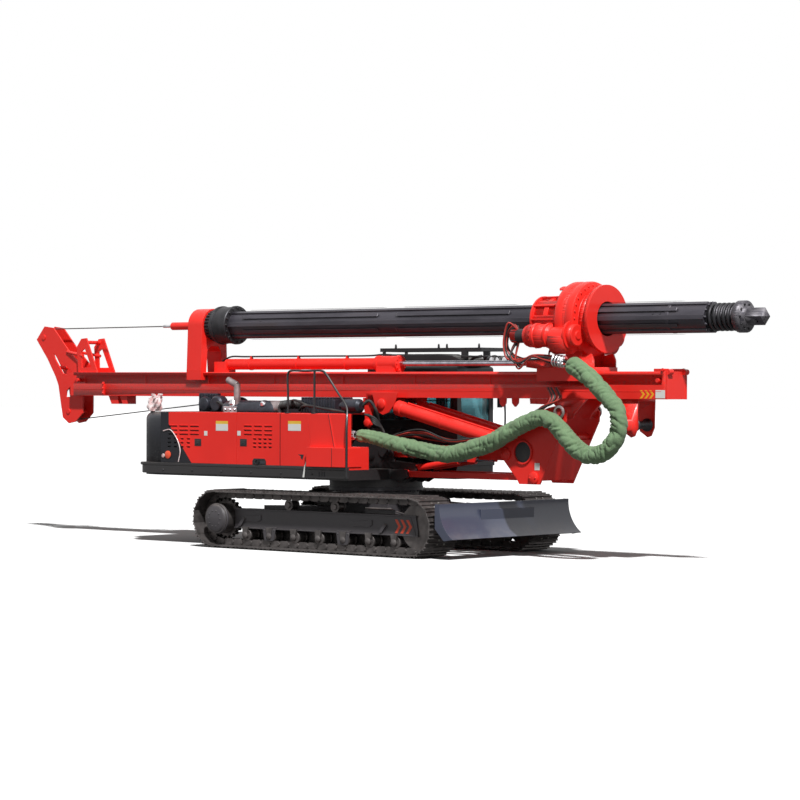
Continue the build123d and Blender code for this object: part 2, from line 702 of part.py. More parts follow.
def front_door(hand):
    """The door in front of the seam."""
    y = hand * (UPPER_HALF - COVER_WALL / 2)
    x = (DOOR_SEAM + SEAM_HALF, DOOR_FRONT - DOOR_GAP / 2)
    block(x, sorted((y - COVER_WALL / 2, y + COVER_WALL / 2)), (DOOR_BOTTOM, DOOR_TOP))
    louvres(-1130, y)
    hinge_half(FRONT_HINGE_X, hand, -25, DOOR_BOTTOM, DOOR_BOTTOM + HINGE_HEIGHT)


with BuildPart() as right_rear_door:
    rear_door(-1)
right_rear_door.part.label = "right_rear_door"
export_step(right_rear_door.part, "parts/right_rear_door.step")

with BuildPart() as right_front_door:
    front_door(-1)
right_front_door.part.label = "right_front_door"
export_step(right_front_door.part, "parts/right_front_door.step")

with BuildPart() as left_rear_door:
    rear_door(1)
left_rear_door.part.label = "left_rear_door"
export_step(left_rear_door.part, "parts/left_rear_door.step")

with BuildPart() as left_front_door:
    front_door(1)
left_front_door.part.label = "left_front_door"
export_step(left_front_door.part, "parts/left_front_door.step")

# Top panels over the doors, and bulkheads that carry them
with BuildPart() as top_panels:
    for hand in (-1, 1):
        y = sorted((hand * UPPER_HALF, hand * 880))
        bottom = DOOR_TOP + DOOR_GAP
        panel = [
            (weight_front(bottom) + SEAT, bottom),
            (DOOR_FRONT, bottom),
            (DOOR_FRONT, COVER_TOP),
            (weight_front(COVER_TOP) + SEAT, COVER_TOP),
        ]
        plate(panel, (y[0] + y[1]) / 2, y[1] - y[0])
        post_y = sorted((hand * (UPPER_HALF - 60), hand * 880))
        block((DOOR_FRONT - 30, DOOR_FRONT), post_y, (DECK_TOP, DOOR_TOP + 10))
        block((DOOR_SEAM - 20, DOOR_SEAM + 20), post_y, (DECK_TOP, DOOR_TOP + 10))
top_panels.part.label = "top_panels"
export_step(top_panels.part, "parts/top_panels.step")

# Tank block at the right front, with its lower step box
with BuildPart() as front_tank:
    block((DOOR_FRONT + 0.5, TANK_FRONT), (-UPPER_HALF, -TANK_INNER), (DECK_TOP, COVER_TOP))
    block((TANK_FRONT - 5, COVER_FRONT), (-UPPER_HALF, -UPPER_HALF + 60), (DECK_TOP, COVER_TOP))
    top_edges = edges().filter_by(Axis.X).group_by(Axis.Z)[-1].sort_by(Axis.Y)[:1]
    fillet(top_edges, 30)
    step_y = (-UPPER_HALF - 12, -TANK_INNER)
    block((STEP_REAR, COVER_FRONT), step_y, (DECK_TOP, STEP_TOP))
front_tank.part.label = "front_tank"
export_step(front_tank.part, "parts/front_tank.step")

with BuildPart() as engine:
    block((-2450, -1300), (-620, 150), (DECK_TOP, 1880))
    bar((-2300, -330, 1900), (-1500, -330, 1900), 120)
engine.part.label = "engine"
export_step(engine.part, "parts/engine.step")

SILENCER_Z = 2072.0
with BuildPart() as exhaust:
    bar((-2120, -600, SILENCER_Z), (-1340, -600, SILENCER_Z), 118)
    bar((-2120, -640, SILENCER_Z), (-2205, -700, SILENCER_Z), 50)
    bar((-2500, -600, SILENCER_Z - 20), (-2300, -600, SILENCER_Z - 20), 85)
    bar((-2310, -600, SILENCER_Z - 20), (-2110, -600, SILENCER_Z - 20), 45)
    block((-2440, -2360), (-640, -560), (1880, 2000))
    bar((-2205, -700, SILENCER_Z - 50), (-2205, -700, 2440), 50)
    bar((-2205, -700, 2420), (-2400, -700, 2500), 50)
    block((-1850, -1780), (-640, -560), (1880, 2000))
exhaust.part.label = "exhaust"
export_step(exhaust.part, "parts/exhaust.step")

# Cab: pillars and panels round an open inside, windows cut on every side
WINDOW_SILL = 1900.0
with BuildPart() as cab_shell:
    cab_x = (CAB_REAR, CAB_FRONT)
    cab_y = (CAB_INNER, UPPER_HALF)
    block(cab_x, cab_y, (DECK_TOP, CAB_ROOF))
    roof = edges().group_by(Axis.Z)[-1]
    fillet(roof, 45)
    block(
        (CAB_REAR + CAB_WALL, CAB_FRONT - CAB_WALL),
        (CAB_INNER + CAB_WALL, UPPER_HALF - CAB_WALL),
        (CAB_FLOOR, CAB_ROOF - CAB_WALL),
        Mode.SUBTRACT,
    )
    # Front, right, rear and left openings, and the doorway
    block(
        (CAB_FRONT - 80, CAB_FRONT + 10),
        (CAB_INNER + 90, UPPER_HALF - 90),
        (1420, CAB_ROOF - 120),
        Mode.SUBTRACT,
    )
    block((-380, 330), (CAB_INNER - 10, CAB_INNER + 80), (WINDOW_SILL, CAB_ROOF - 120), Mode.SUBTRACT)
    block((430, 1090), (CAB_INNER - 10, CAB_INNER + 80), (WINDOW_SILL, CAB_ROOF - 120), Mode.SUBTRACT)
    block(
        (CAB_REAR - 10, CAB_REAR + 80),
        (CAB_INNER + 110, UPPER_HALF - 110),
        (2000, CAB_ROOF - 120),
        Mode.SUBTRACT,
    )
    block((-480, 130), (UPPER_HALF - 80, UPPER_HALF + 10), (2000, CAB_ROOF - 120), Mode.SUBTRACT)
    block((230, 1110), (UPPER_HALF - 80, UPPER_HALF + 10), (CAB_FLOOR + 10, CAB_ROOF - 110), Mode.SUBTRACT)
    sill = CAB_FLOOR + 10
    hinge_half(CAB_HINGE_X, 1, 25, sill - 40, sill + DOOR_GAP - 0.2)
cab_shell.part.label = "cab_shell"
export_step(cab_shell.part, "parts/cab_shell.step")

with BuildPart() as cab_glass:
    block(
        (CAB_FRONT - 30, CAB_FRONT - 22),
        (CAB_INNER + 90 + SEAT, UPPER_HALF - 90 - SEAT),
        (1420 + SEAT, CAB_ROOF - 120 - SEAT),
    )
    for x in ((-380, 330), (430, 1090)):
        block(
            (x[0] + SEAT, x[1] - SEAT),
            (CAB_INNER + 20, CAB_INNER + 28),
            (WINDOW_SILL + SEAT, CAB_ROOF - 120 - SEAT),
        )
    block(
        (CAB_REAR + 20, CAB_REAR + 28),
        (CAB_INNER + 110 + SEAT, UPPER_HALF - 110 - SEAT),
        (2000 + SEAT, CAB_ROOF - 120 - SEAT),
    )
    block((-480 + SEAT, 130 - SEAT), (UPPER_HALF - 28, UPPER_HALF - 20), (2000 + SEAT, CAB_ROOF - 120 - SEAT))
cab_glass.part.label = "cab_glass"
export_step(cab_glass.part, "parts/cab_glass.step")

with BuildPart() as cab_door:
    door_x = (230 + DOOR_GAP, 1110 - DOOR_GAP)
    door_y = (UPPER_HALF - CAB_WALL + 6, UPPER_HALF)
    door_z = (CAB_FLOOR + 10 + DOOR_GAP, CAB_ROOF - 110 - DOOR_GAP)
    block(door_x, door_y, door_z)
    hinge_half(CAB_HINGE_X, 1, 25, door_z[0], door_z[0] + HINGE_HEIGHT)
    block(
        (door_x[0] + 70, door_x[1] - 70),
        (UPPER_HALF - 90, UPPER_HALF + 10),
        (WINDOW_SILL, door_z[1] - 70),
        Mode.SUBTRACT,
    )
cab_door.part.label = "cab_door"
export_step(cab_door.part, "parts/cab_door.step")

with BuildPart() as door_glass:
    block(
        (door_x[0] + 70 + SEAT, door_x[1] - 70 - SEAT),
        (UPPER_HALF - 30, UPPER_HALF - 22),
        (WINDOW_SILL + SEAT, door_z[1] - 70 - SEAT),
    )
door_glass.part.label = "door_glass"
export_step(door_glass.part, "parts/door_glass.step")

with BuildPart() as operator_seat:
    block((-150, 330), (620, 1080), (CAB_FLOOR, CAB_FLOOR + 330))
    block((-150, 350), (600, 1100), (CAB_FLOOR + 330, CAB_FLOOR + 470))
    back = [(-170, 1640), (10, 1640), (-110, 2290), (-230, 2290)]
    plate(back, 850, 460)
    block((500, 900), (490, 600), (CAB_FLOOR, 1780))
operator_seat.part.label = "operator_seat"
export_step(operator_seat.part, "parts/operator_seat.step")

# Falling object guard over the cab, on short posts
with BuildPart() as roof_guard:
    guard_x = (CAB_REAR + 40, CAB_FRONT - 20)
    guard_y = (GUARD_INNER, UPPER_HALF - 10)
    block(guard_x, (guard_y[0], guard_y[0] + 40), (GUARD_Z - 30, GUARD_Z))
    block(guard_x, (guard_y[1] - 40, guard_y[1]), (GUARD_Z - 30, GUARD_Z))
    for step in range(9):
        x = guard_x[0] + step * (guard_x[1] - guard_x[0] - 40) / 8
        block((x, x + 40), guard_y, (GUARD_Z - 30, GUARD_Z))
    for x in (guard_x[0] + 60, guard_x[1] - 100):
        for y in (guard_y[0], guard_y[1] - 40):
            block((x, x + 40), (y, y + 40), (CAB_ROOF, GUARD_Z - 10))
roof_guard.part.label = "roof_guard"
export_step(roof_guard.part, "parts/roof_guard.step")

# Handrails on the right side
with BuildPart() as handrails:
    y = -UPPER_HALF + 42
    bar((-550, y, COVER_TOP), (-550, y, 2610), 17)
    bar((-10, y, COVER_TOP), (-10, y, 2610), 17)
    bar((-567, y, 2600), (167, y, 2600), 17)
    bar((150, y, 2610), (480, y, COVER_TOP + 40), 17)
    bar((480, y, COVER_TOP), (480, y, COVER_TOP + 50), 17)
handrails.part.label = "handrails"
export_step(handrails.part, "parts/handrails.step")

# Main winch in the well of the counterweight
with BuildPart() as winch_drum:
    cross_bar(WINCH, -WINCH_HALF, WINCH_HALF, 150)
    for hand in (-1, 1):
        cross_bar(WINCH, hand * WINCH_HALF, hand * (WINCH_HALF - 30), WINCH_FLANGE)
        cross_bar(WINCH, hand * WINCH_HALF, hand * (WINCH_HALF + 30 - SEAT), 80)
winch_drum.part.label = "winch_drum"
export_step(winch_drum.part, "parts/winch_drum.step")

# Boom: a tapered box between its two bosses, with ears for the luffing cylinders
with BuildPart() as boom:
    plate(beam_outline(BOOM_FOOT, BOOM_TIP, 170, BOOM_DEPTH), 0, 2 * BOOM_HALF)
    cross_bar(BOOM_FOOT, -170, 170, 85)
    cross_bar(BOOM_TIP, -BOOM_HALF, BOOM_HALF, BOOM_DEPTH / 2)
    cross_bar(BOOM_FOOT, -171, 171, 50 + PIN_GAP, Mode.SUBTRACT)
    cross_bar(BOOM_TIP, -BOOM_HALF - 1, BOOM_HALF + 1, 50 + PIN_GAP, Mode.SUBTRACT)
    for hand in (-1, 1):
        lug = [
            (LUFF_EYE[0] - 90, LUFF_EYE[1] + 70),
            (LUFF_EYE[0] - 70, LUFF_EYE[1] - 55),
            (LUFF_EYE[0] + 60, LUFF_EYE[1] - 60),
            (LUFF_EYE[0] + 110, LUFF_EYE[1] + 70),
        ]
        plate(lug, hand * 250, 20)
        block(
            (LUFF_EYE[0] - 60, LUFF_EYE[0] + 60),
            sorted((hand * (BOOM_HALF - 5), hand * 258)),
            (LUFF_EYE[1] + 60, LUFF_EYE[1] + 80),
        )
boom.part.label = "boom"
export_step(boom.part, "parts/boom.step")

with BuildPart() as lower_link:
    for hand in (-1, 1):
        y = hand * LINK_Y
        plate(beam_outline(LINK_FOOT, LINK_TIP, LINK_DEPTH, LINK_DEPTH), y, LINK_THICKNESS)
        for place in (LINK_FOOT, LINK_TIP):
            eye(place, y, LINK_THICKNESS, 65, 35 + PIN_GAP)
    middle = (LINK_FOOT[0] + 1200, LINK_FOOT[1])
    cross_bar(middle, -LINK_Y, LINK_Y, 30)
    cross_bar((middle[0] + 800, middle[1]), -LINK_Y, LINK_Y, 30)
lower_link.part.label = "lower_link"
export_step(lower_link.part, "parts/lower_link.step")

# Deltoid: two plates with their pins, between boom, link, mast and mast cylinders
DELTOID_OUTLINE = (
    (2640.0, 1500.0),
    (2990.0, 1120.0),
    (3040.0, 1045.0),
    (3400.0, 1045.0),
    (3860.0, 1930.0),
    (3870.0, 2060.0),
    (3770.0, 2160.0),
    (3560.0, 2120.0),
    (3330.0, 2040.0),
    (2700.0, 1620.0),
)
with BuildPart() as deltoid:
    inner = DELTOID_Y - DELTOID_PLATE / 2
    for hand in (-1, 1):
        plate(DELTOID_OUTLINE, hand * DELTOID_Y, DELTOID_PLATE)
        collar_y = sorted((hand * (DELTOID_Y - DELTOID_PLATE / 2 + 1), hand * (DELTOID_Y + 27)))
        cross_bar(DELTOID_HOLE, *collar_y, DELTOID_HOLE_RADIUS + 16)
        cross_bar(DELTOID_HOLE, *collar_y, DELTOID_HOLE_RADIUS, Mode.SUBTRACT)
        cross_bar(LINK_TIP, hand * (inner + 5), hand * (LINK_Y - 24), 35)
        cross_bar(LINK_TIP, hand * (inner + 5), hand * (LINK_Y + 30), 60)
        cross_bar(RAM_BASE, hand * (inner + 5), hand * (RAM_Y - 50), 40)
        cross_bar(RAM_BASE, hand * (inner + 5), hand * (RAM_Y + RAM_RADIUS + 4), 80)
        cross_bar(MAST_PIVOT, hand * (inner - 1), hand * (DELTOID_Y + 30), 50 + PIN_GAP, Mode.SUBTRACT)
        cross_bar(BOOM_TIP, hand * (BOOM_HALF + 5), hand * (BOOM_HALF + 25), 75)
    cross_bar(BOOM_TIP, -BOOM_HALF - 25, BOOM_HALF + 25, 50)
    cross_bar(BOOM_TIP, -inner - 5, inner + 5, 35)
    cross_bar((3640, 1700), -inner - 5, inner + 5, 60)
    # Front panel between the plates, along their front edge
    foot, top = DELTOID_OUTLINE[3], DELTOID_OUTLINE[4]
    low, high = along(foot, top, 60), along(foot, top, 700)
    panel = [low, high, (high[0] - 20, high[1] + 10), (low[0] - 20, low[1] + 10)]
    plate(panel, 0, 2 * inner + 10)
deltoid.part.label = "deltoid"
export_step(deltoid.part, "parts/deltoid.step")

LUFF_BARREL_LENGTH = 840.0
with BuildPart() as luffing_barrels:
    for hand in (-1, 1):
        y = hand * LUFF_Y
        cylinder_barrel(LUFF_BASE, LUFF_EYE, y, 90, 46, 35, LUFF_BARREL_LENGTH)
        rod_bore(LUFF_BASE, LUFF_EYE, y, 30.3, 200, LUFF_BARREL_LENGTH)
luffing_barrels.part.label = "luffing_barrels"
export_step(luffing_barrels.part, "parts/luffing_barrels.step")

with BuildPart() as luffing_rods:
    for hand in (-1, 1):
        cylinder_rod(LUFF_BASE, LUFF_EYE, hand * LUFF_Y, 86, 30, 28, 210)
luffing_rods.part.label = "luffing_rods"
export_step(luffing_rods.part, "parts/luffing_rods.step")

RAM_BARREL_LENGTH = 2430.0
with BuildPart() as mast_barrels:
    for hand in (-1, 1):
        y = hand * RAM_Y
        cylinder_barrel(RAM_BASE, RAM_EYE, y, 90, RAM_RADIUS, 40, RAM_BARREL_LENGTH)
        rod_bore(RAM_BASE, RAM_EYE, y, 50.3, 300, RAM_BARREL_LENGTH)
mast_barrels.part.label = "mast_barrels"
export_step(mast_barrels.part, "parts/mast_barrels.step")

with BuildPart() as mast_rods:
    for hand in (-1, 1):
        cylinder_rod(RAM_BASE, RAM_EYE, hand * RAM_Y, 104, 50, 38, 320)
mast_rods.part.label = "mast_rods"
export_step(mast_rods.part, "parts/mast_rods.step")

# Mast: top flange that the sled runs on, narrow web and wider lower box
with BuildPart() as mast:
    length = (MAST_REAR, MAST_FRONT)
    block(length, (-MAST_HALF, MAST_HALF), (MAST_TOP - FLANGE_THICKNESS, MAST_TOP))
    block(length, (-WEB_HALF, WEB_HALF), (LOWER_BOX_TOP - 5, MAST_TOP - 5))
    block(length, (-MAST_HALF, MAST_HALF), (MAST_BOTTOM, LOWER_BOX_TOP))
    recess_end = [
        (END_BLOCK, LOWER_BOX_TOP - 5),
        (END_BLOCK + 45, MAST_TOP - FLANGE_THICKNESS + 5),
        (MAST_FRONT, MAST_TOP - FLANGE_THICKNESS + 5),
        (MAST_FRONT, LOWER_BOX_TOP - 5),
    ]
    plate(recess_end, 0, 2 * MAST_HALF)
    for x in (4950, 5500):
        block((x, x + 150), (-200, 200), (MAST_TOP - 5, MAST_TOP + 36))
mast.part.label = "mast"
export_step(mast.part, "parts/mast.step")

# Brackets welded under the mast: pivot lugs and the ears of the mast cylinders
with BuildPart() as mast_brackets:
    for hand in (-1, 1):
        lug = [
            (MAST_PIVOT[0] - 330, MAST_BOTTOM - SEAT),
            (MAST_PIVOT[0] - 105, MAST_PIVOT[1] - 20),
            (MAST_PIVOT[0] - 60, MAST_PIVOT[1] - 95),
            (MAST_PIVOT[0] + 60, MAST_PIVOT[1] - 95),
            (MAST_PIVOT[0] + 105, MAST_PIVOT[1] - 20),
            (MAST_PIVOT[0] + 330, MAST_BOTTOM - SEAT),
        ]
        plate(lug, hand * 205, 40)
        cross_bar(MAST_PIVOT, hand * 190, hand * 352, 80)
        cross_bar(MAST_PIVOT, hand * 190, hand * 410, 50)
        shelf_y = sorted((hand * (RAM_Y - 80), hand * (RAM_Y + 80)))
        block((220, 640), shelf_y, (MAST_BOTTOM - 20, MAST_BOTTOM - SEAT))
        cheek_y = sorted((hand * (MAST_HALF + SEAT), hand * (RAM_Y + 80)))
        block((220, 640), cheek_y, (MAST_BOTTOM - 20, MAST_BOTTOM + 75))
        for shift in (-1, 1):
            ear = [
                (RAM_EYE[0] - 130, MAST_BOTTOM - 10),
                (RAM_EYE[0] - 60, RAM_EYE[1] - 50),
                (RAM_EYE[0] + 60, RAM_EYE[1] - 50),
                (RAM_EYE[0] + 130, MAST_BOTTOM - 10),
            ]
            plate(ear, hand * RAM_Y + shift * 68, 24)
        for x in DRAWBAR_LUGS:
            lug = [
                (x - 55, MAST_BOTTOM - SEAT),
                (x - 50, MAST_BOTTOM - 70),
                (x, MAST_BOTTOM - 122),
                (x + 50, MAST_BOTTOM - 70),
                (x + 55, MAST_BOTTOM - SEAT),
            ]
            plate(lug, hand * 140, 40)
mast_brackets.part.label = "mast_brackets"
export_step(mast_brackets.part, "parts/mast_brackets.step")

# Mast head: two plates with openings that carry the rope sheaves
HEAD_OUTLINE = (
    (-7237.0, 3381.0),
    (-7020.0, 3355.0),
    (-6661.0, 2991.0),
    (-6340.0, 2726.0),
    (-6323.0, 2624.0),
    (-6402.0, 2624.0),
    (-6402.0, 2245.0),
    (-6302.0, 2244.0),
    (-6302.0, 1961.0),
    (-6478.0, 1817.0),
    (-6638.0, 1791.0),
    (-6782.0, 1886.0),
    (-6891.0, 2414.0),
    (-6964.0, 2558.0),
    (-7163.0, 2849.0),
    (HEAD_TIP_X, 3165.0),
)
HEAD_OPENING = (
    (-7018.0, 2944.0),
    (-6893.0, 2847.0),
    (-6553.0, 2630.0),
    (-6695.0, 2583.0),
    (-6785.0, 2607.0),
    (-6982.0, 2848.0),
)
LOWER_OPENING = ((-6693.0, 2318.0), (-6569.0, 2415.0), (-6586.0, 2223.0), (-6711.0, 2222.0))
HEAD_Y = 110.0
with BuildPart() as mast_head:
    for hand in (-1, 1):
        plate(HEAD_OUTLINE, hand * HEAD_Y, 24)
        plate(HEAD_OPENING, hand * HEAD_Y, 26, Mode.SUBTRACT)
        plate(LOWER_OPENING, hand * HEAD_Y, 26, Mode.SUBTRACT)
        stay = [(-6360, 3036), (-6254, 3167), (-6131, 3178), (-5867, MAST_TOP), (-6323, MAST_TOP)]
        opening = [(-6250, 2960), (-6170, 3010), (-6010, 2700), (-6240, 2700)]
        plate(stay, hand * 190, 24)
        plate(opening, hand * 190, 26, Mode.SUBTRACT)
        bar((-6680, hand * 120, 2960), (-6220, hand * 190, 2890), 25)
        block(
            (-6480, -6402),
            sorted((hand * 100, hand * 230)),
            (MAST_BOTTOM, LOWER_BOX_TOP),
        )
    cross_bar((-6930, 2700), -HEAD_Y, HEAD_Y, 30)
    cross_bar((-6450, 1990), -HEAD_Y, HEAD_Y, 25)
    cross_bar((-6230, 3110), -190, 190, 30)
    cross_bar(UPPER_SHEAVE, -HEAD_Y - 25, HEAD_Y + 25, 40)
    cross_bar(LOWER_SHEAVE, -HEAD_Y - 25, HEAD_Y + 25, 40)
mast_head.part.label = "mast_head"
export_step(mast_head.part, "parts/mast_head.step")


def sheave(place):
    """A rope sheave with a groove round its rim."""
    cross_bar(place, -35, 35, SHEAVE_RADIUS)
    cross_bar(place, -90, 90, 65)
    groove = Plane(origin=(SLEW_X + place[0], 0, place[1]), x_dir=(1, 0, 0), z_dir=(0, -1, 0))
    with BuildSketch(groove) as ring:
        Circle(SHEAVE_RADIUS + 1)
        Circle(SHEAVE_RADIUS - 22, mode=Mode.SUBTRACT)
    extrude(ring.sketch, amount=12, both=True, mode=Mode.SUBTRACT)
    cross_bar(place, -91, 91, 40 + PIN_GAP, Mode.SUBTRACT)


with BuildPart() as upper_sheave:
    sheave(UPPER_SHEAVE)
upper_sheave.part.label = "upper_sheave"
export_step(upper_sheave.part, "parts/upper_sheave.step")

with BuildPart() as lower_sheave:
    sheave(LOWER_SHEAVE)
lower_sheave.part.label = "lower_sheave"
export_step(lower_sheave.part, "parts/lower_sheave.step")

# Mast foot with the auxiliary winch hung under it
with BuildPart() as mast_foot:
    for hand in (-1, 1):
        cheek = [
            (4640, MAST_BOTTOM - SEAT),
            (4640, 2050),
            (4720, 1800),
            (4860, 1720),
            (5000, 1740),
            (5120, 1850),
            (5140, MAST_BOTTOM - SEAT),
        ]
        plate(cheek, hand * 190, 24)
    block((4640, 5140), (-200, 200), (MAST_BOTTOM - 30, MAST_BOTTOM - SEAT))
    cross_bar(FOOT_WINCH, -300, -200, 80)
mast_foot.part.label = "mast_foot"
export_step(mast_foot.part, "parts/mast_foot.step")

with BuildPart() as foot_drum:
    cross_bar(FOOT_WINCH, -150, 150, 85)
    for hand in (-1, 1):
        cross_bar(FOOT_WINCH, hand * 150, hand * 130, 135)
        cross_bar(FOOT_WINCH, hand * 150, hand * (178 - SEAT), 50)
foot_drum.part.label = "foot_drum"
export_step(foot_drum.part, "parts/foot_drum.step")

# Crowd cylinder on the mast
with BuildPart() as crowd_barrel:
    bar((CROWD_REAR, 0, CROWD_Z), (CROWD_GLAND + 10, 0, CROWD_Z), 85)
    bar((CROWD_GLAND, 0, CROWD_Z), (CROWD_GLAND + 360, 0, CROWD_Z), 115)
    block((CROWD_REAR - 190, CROWD_REAR + 60), (-110, 110), (MAST_TOP, CROWD_Z + 40))
    block((CROWD_GLAND, CROWD_GLAND + 360), (-110, 110), (MAST_TOP, CROWD_Z))
    rod_end = CROWD_GLAND + 361
    bar((-2700, 0, CROWD_Z), (rod_end, 0, CROWD_Z), 40.5, Mode.SUBTRACT)
crowd_barrel.part.label = "crowd_barrel"
export_step(crowd_barrel.part, "parts/crowd_barrel.step")

with BuildPart() as crowd_rod:
    bar((-100, 0, CROWD_Z), (CROWD_ROD_END, 0, CROWD_Z), 40)
crowd_rod.part.label = "crowd_rod"
export_step(crowd_rod.part, "parts/crowd_rod.step")

# Sled of the rotary head, hooked round the mast's top flange
with BuildPart() as sled:
    block((SLED_REAR, SLED_FRONT), (-290, 290), (MAST_TOP + SEAT, MAST_TOP + 60))
    for hand in (-1, 1):
        cheek_y = sorted((hand * (MAST_HALF + SIDE_GAP), hand * 290))
        block((SLED_REAR, SLED_FRONT), cheek_y, (2490, MAST_TOP + 40))
        hook_y = sorted((hand * (WEB_HALF + 20), hand * 280))
        block(
            (SLED_REAR, SLED_FRONT),
            hook_y,
            (2490, MAST_TOP - FLANGE_THICKNESS - SIDE_GAP),
        )
        web = [
            (3780, MAST_TOP + 50),
            (3900, 2895),
            (4060, 2895),
            (4100, 2840),
            (4560, 2870),
            (SLED_FRONT - 5, 2780),
            (SLED_FRONT - 5, MAST_TOP + 50),
        ]
        plate(web, hand * 250, 30)
    lug = [
        (CROWD_ROD_END, CROWD_Z - 60),
        (CROWD_ROD_END, CROWD_Z + 60),
        (SLED_REAR + 100, CROWD_Z + 60),
        (SLED_REAR + 300, MAST_TOP + 50),
        (SLED_REAR + 20, MAST_TOP + 20),
    ]
    plate(lug, 0, 160)
sled.part.label = "sled"
export_step(sled.part, "parts/sled.step")

# Rotary head's gear case: ribbed collar behind, drum, lobes over the pinions and lower ring
GEARBOX_X = (3440.0, 3870.0)
COLLAR_WINDOWS = 8
with BuildPart() as gearbox:
    bar((2914, 0, KELLY_Z), (GEARBOX_X[0] + 10, 0, KELLY_Z), 318)
    bar((GEARBOX_X[0], 0, KELLY_Z), (4080, 0, KELLY_Z), 385)
    bar((3560, 0, KELLY_Z), (4000, 0, KELLY_Z), 508)
    with BuildSketch(station(3560)) as lobes:
        with Locations((0, KELLY_Z - 180)):
            Rectangle(2 * MOTOR_Y, 400)
        with Locations((MOTOR_Y, MOTOR_Z), (-MOTOR_Y, MOTOR_Z)):
            Circle(190)
    extrude(lobes.sketch, amount=440)
    block((3700, 4000), (-235, 235), (MAST_TOP + 60, 3100))
    bar((2913, 0, KELLY_Z), (4081, 0, KELLY_Z), HEAD_BORE + 60, Mode.SUBTRACT)
    # Columns: first and last place of a row of windows in the collar
    for first, last in ((2965, 3135), (3215, 3400)):
        with BuildSketch(station(first)) as windows:
            with Locations((0, KELLY_Z)):
                with PolarLocations(HEAD_BORE + 70, COLLAR_WINDOWS, start_angle=180 / COLLAR_WINDOWS):
                    Rectangle(60, 135)
        extrude(windows.sketch, amount=last - first, mode=Mode.SUBTRACT)
gearbox.part.label = "gearbox"
export_step(gearbox.part, "parts/gearbox.step")

with BuildPart() as head_motors:
    for hand in (-1, 1):
        y = hand * MOTOR_Y
        bar((3160, y, MOTOR_Z), (3560 - SEAT, y, MOTOR_Z), 160)
        bar((2800, y, MOTOR_Z), (3165, y, MOTOR_Z), 95)
        bar((4000 + SEAT, y, MOTOR_Z), (4150, y, MOTOR_Z), 150)
head_motors.part.label = "head_motors"
export_step(head_motors.part, "parts/head_motors.step")

# Output sleeve that turns the kelly, with the lower disc
with BuildPart() as output_disc:
    bar((2940, 0, KELLY_Z), (4285, 0, KELLY_Z), HEAD_BORE + 60 - PIN_GAP)
    bar((4090, 0, KELLY_Z), (4170, 0, KELLY_Z), 400)
    bar((4225, 0, KELLY_Z), (4285, 0, KELLY_Z), 473)
    bar((2939, 0, KELLY_Z), (4286, 0, KELLY_Z), HEAD_BORE, Mode.SUBTRACT)
output_disc.part.label = "output_disc"
export_step(output_disc.part, "parts/output_disc.step")

# Sleeve round the hoses, in four lengths that meet end to end


def middle(start, end):
    """The point halfway between two."""
    return tuple((a + b) / 2 for a, b in zip(start, end))


def sleeve(corners):
    """A round tube on straight runs through the corners, each turned by a tangent arc."""
    places = [Vector(SLEW_X + x, y, z) for x, y, z in corners]
    with BuildLine() as route:
        last = places[0]
        for before, corner, after in zip(places, places[1:], places[2:]):
            come = (corner - before).normalized()
            leave = (after - corner).normalized()
            half_turn = math.acos(come.dot(leave)) / 2
            reach = 0.45 * min((corner - before).length, (after - corner).length)
            radius = reach / math.tan(half_turn)
            inward = (leave - come).normalized()
            first, second = corner - come * reach, corner + leave * reach
            crown = corner + inward * (radius / math.cos(half_turn) - radius)
            Line(last, first)
            ThreePointArc(first, crown, second)
            last = second
        Line(last, places[-1])
    with BuildSketch(Plane(origin=places[0], z_dir=places[1] - places[0])) as ring:
        Circle(SLEEVE_RADIUS)
    sweep(ring.sketch, path=route.wires()[0])


SLEEVE_ENDS = (
    middle(SLEEVE_ROUTE[2], SLEEVE_ROUTE[3]),
    middle(SLEEVE_ROUTE[3], SLEEVE_ROUTE[4]),
    middle(SLEEVE_ROUTE[4], SLEEVE_ROUTE[5]),
)


def beyond(start, end):
    """The point a seat's width past start, towards end."""
    run = math.dist(start, end)
    return tuple(a + (b - a) * SEAT / run for a, b in zip(start, end))


with BuildPart() as sleeve_boom:
    sleeve((*SLEEVE_ROUTE[:3], SLEEVE_ENDS[0]))
sleeve_boom.part.label = "sleeve_boom"
export_step(sleeve_boom.part, "parts/sleeve_boom.step")

with BuildPart() as sleeve_deltoid:
    sleeve((beyond(SLEEVE_ENDS[0], SLEEVE_ROUTE[3]), SLEEVE_ROUTE[3], SLEEVE_ENDS[1]))
sleeve_deltoid.part.label = "sleeve_deltoid"
export_step(sleeve_deltoid.part, "parts/sleeve_deltoid.step")

with BuildPart() as sleeve_pivot:
    sleeve((beyond(SLEEVE_ENDS[1], SLEEVE_ROUTE[4]), SLEEVE_ROUTE[4], SLEEVE_ENDS[2]))
sleeve_pivot.part.label = "sleeve_pivot"
export_step(sleeve_pivot.part, "parts/sleeve_pivot.step")

with BuildPart() as sleeve_loop:
    sleeve((beyond(SLEEVE_ENDS[2], SLEEVE_ROUTE[5]), *SLEEVE_ROUTE[5:]))
sleeve_loop.part.label = "sleeve_loop"
export_step(sleeve_loop.part, "parts/sleeve_loop.step")

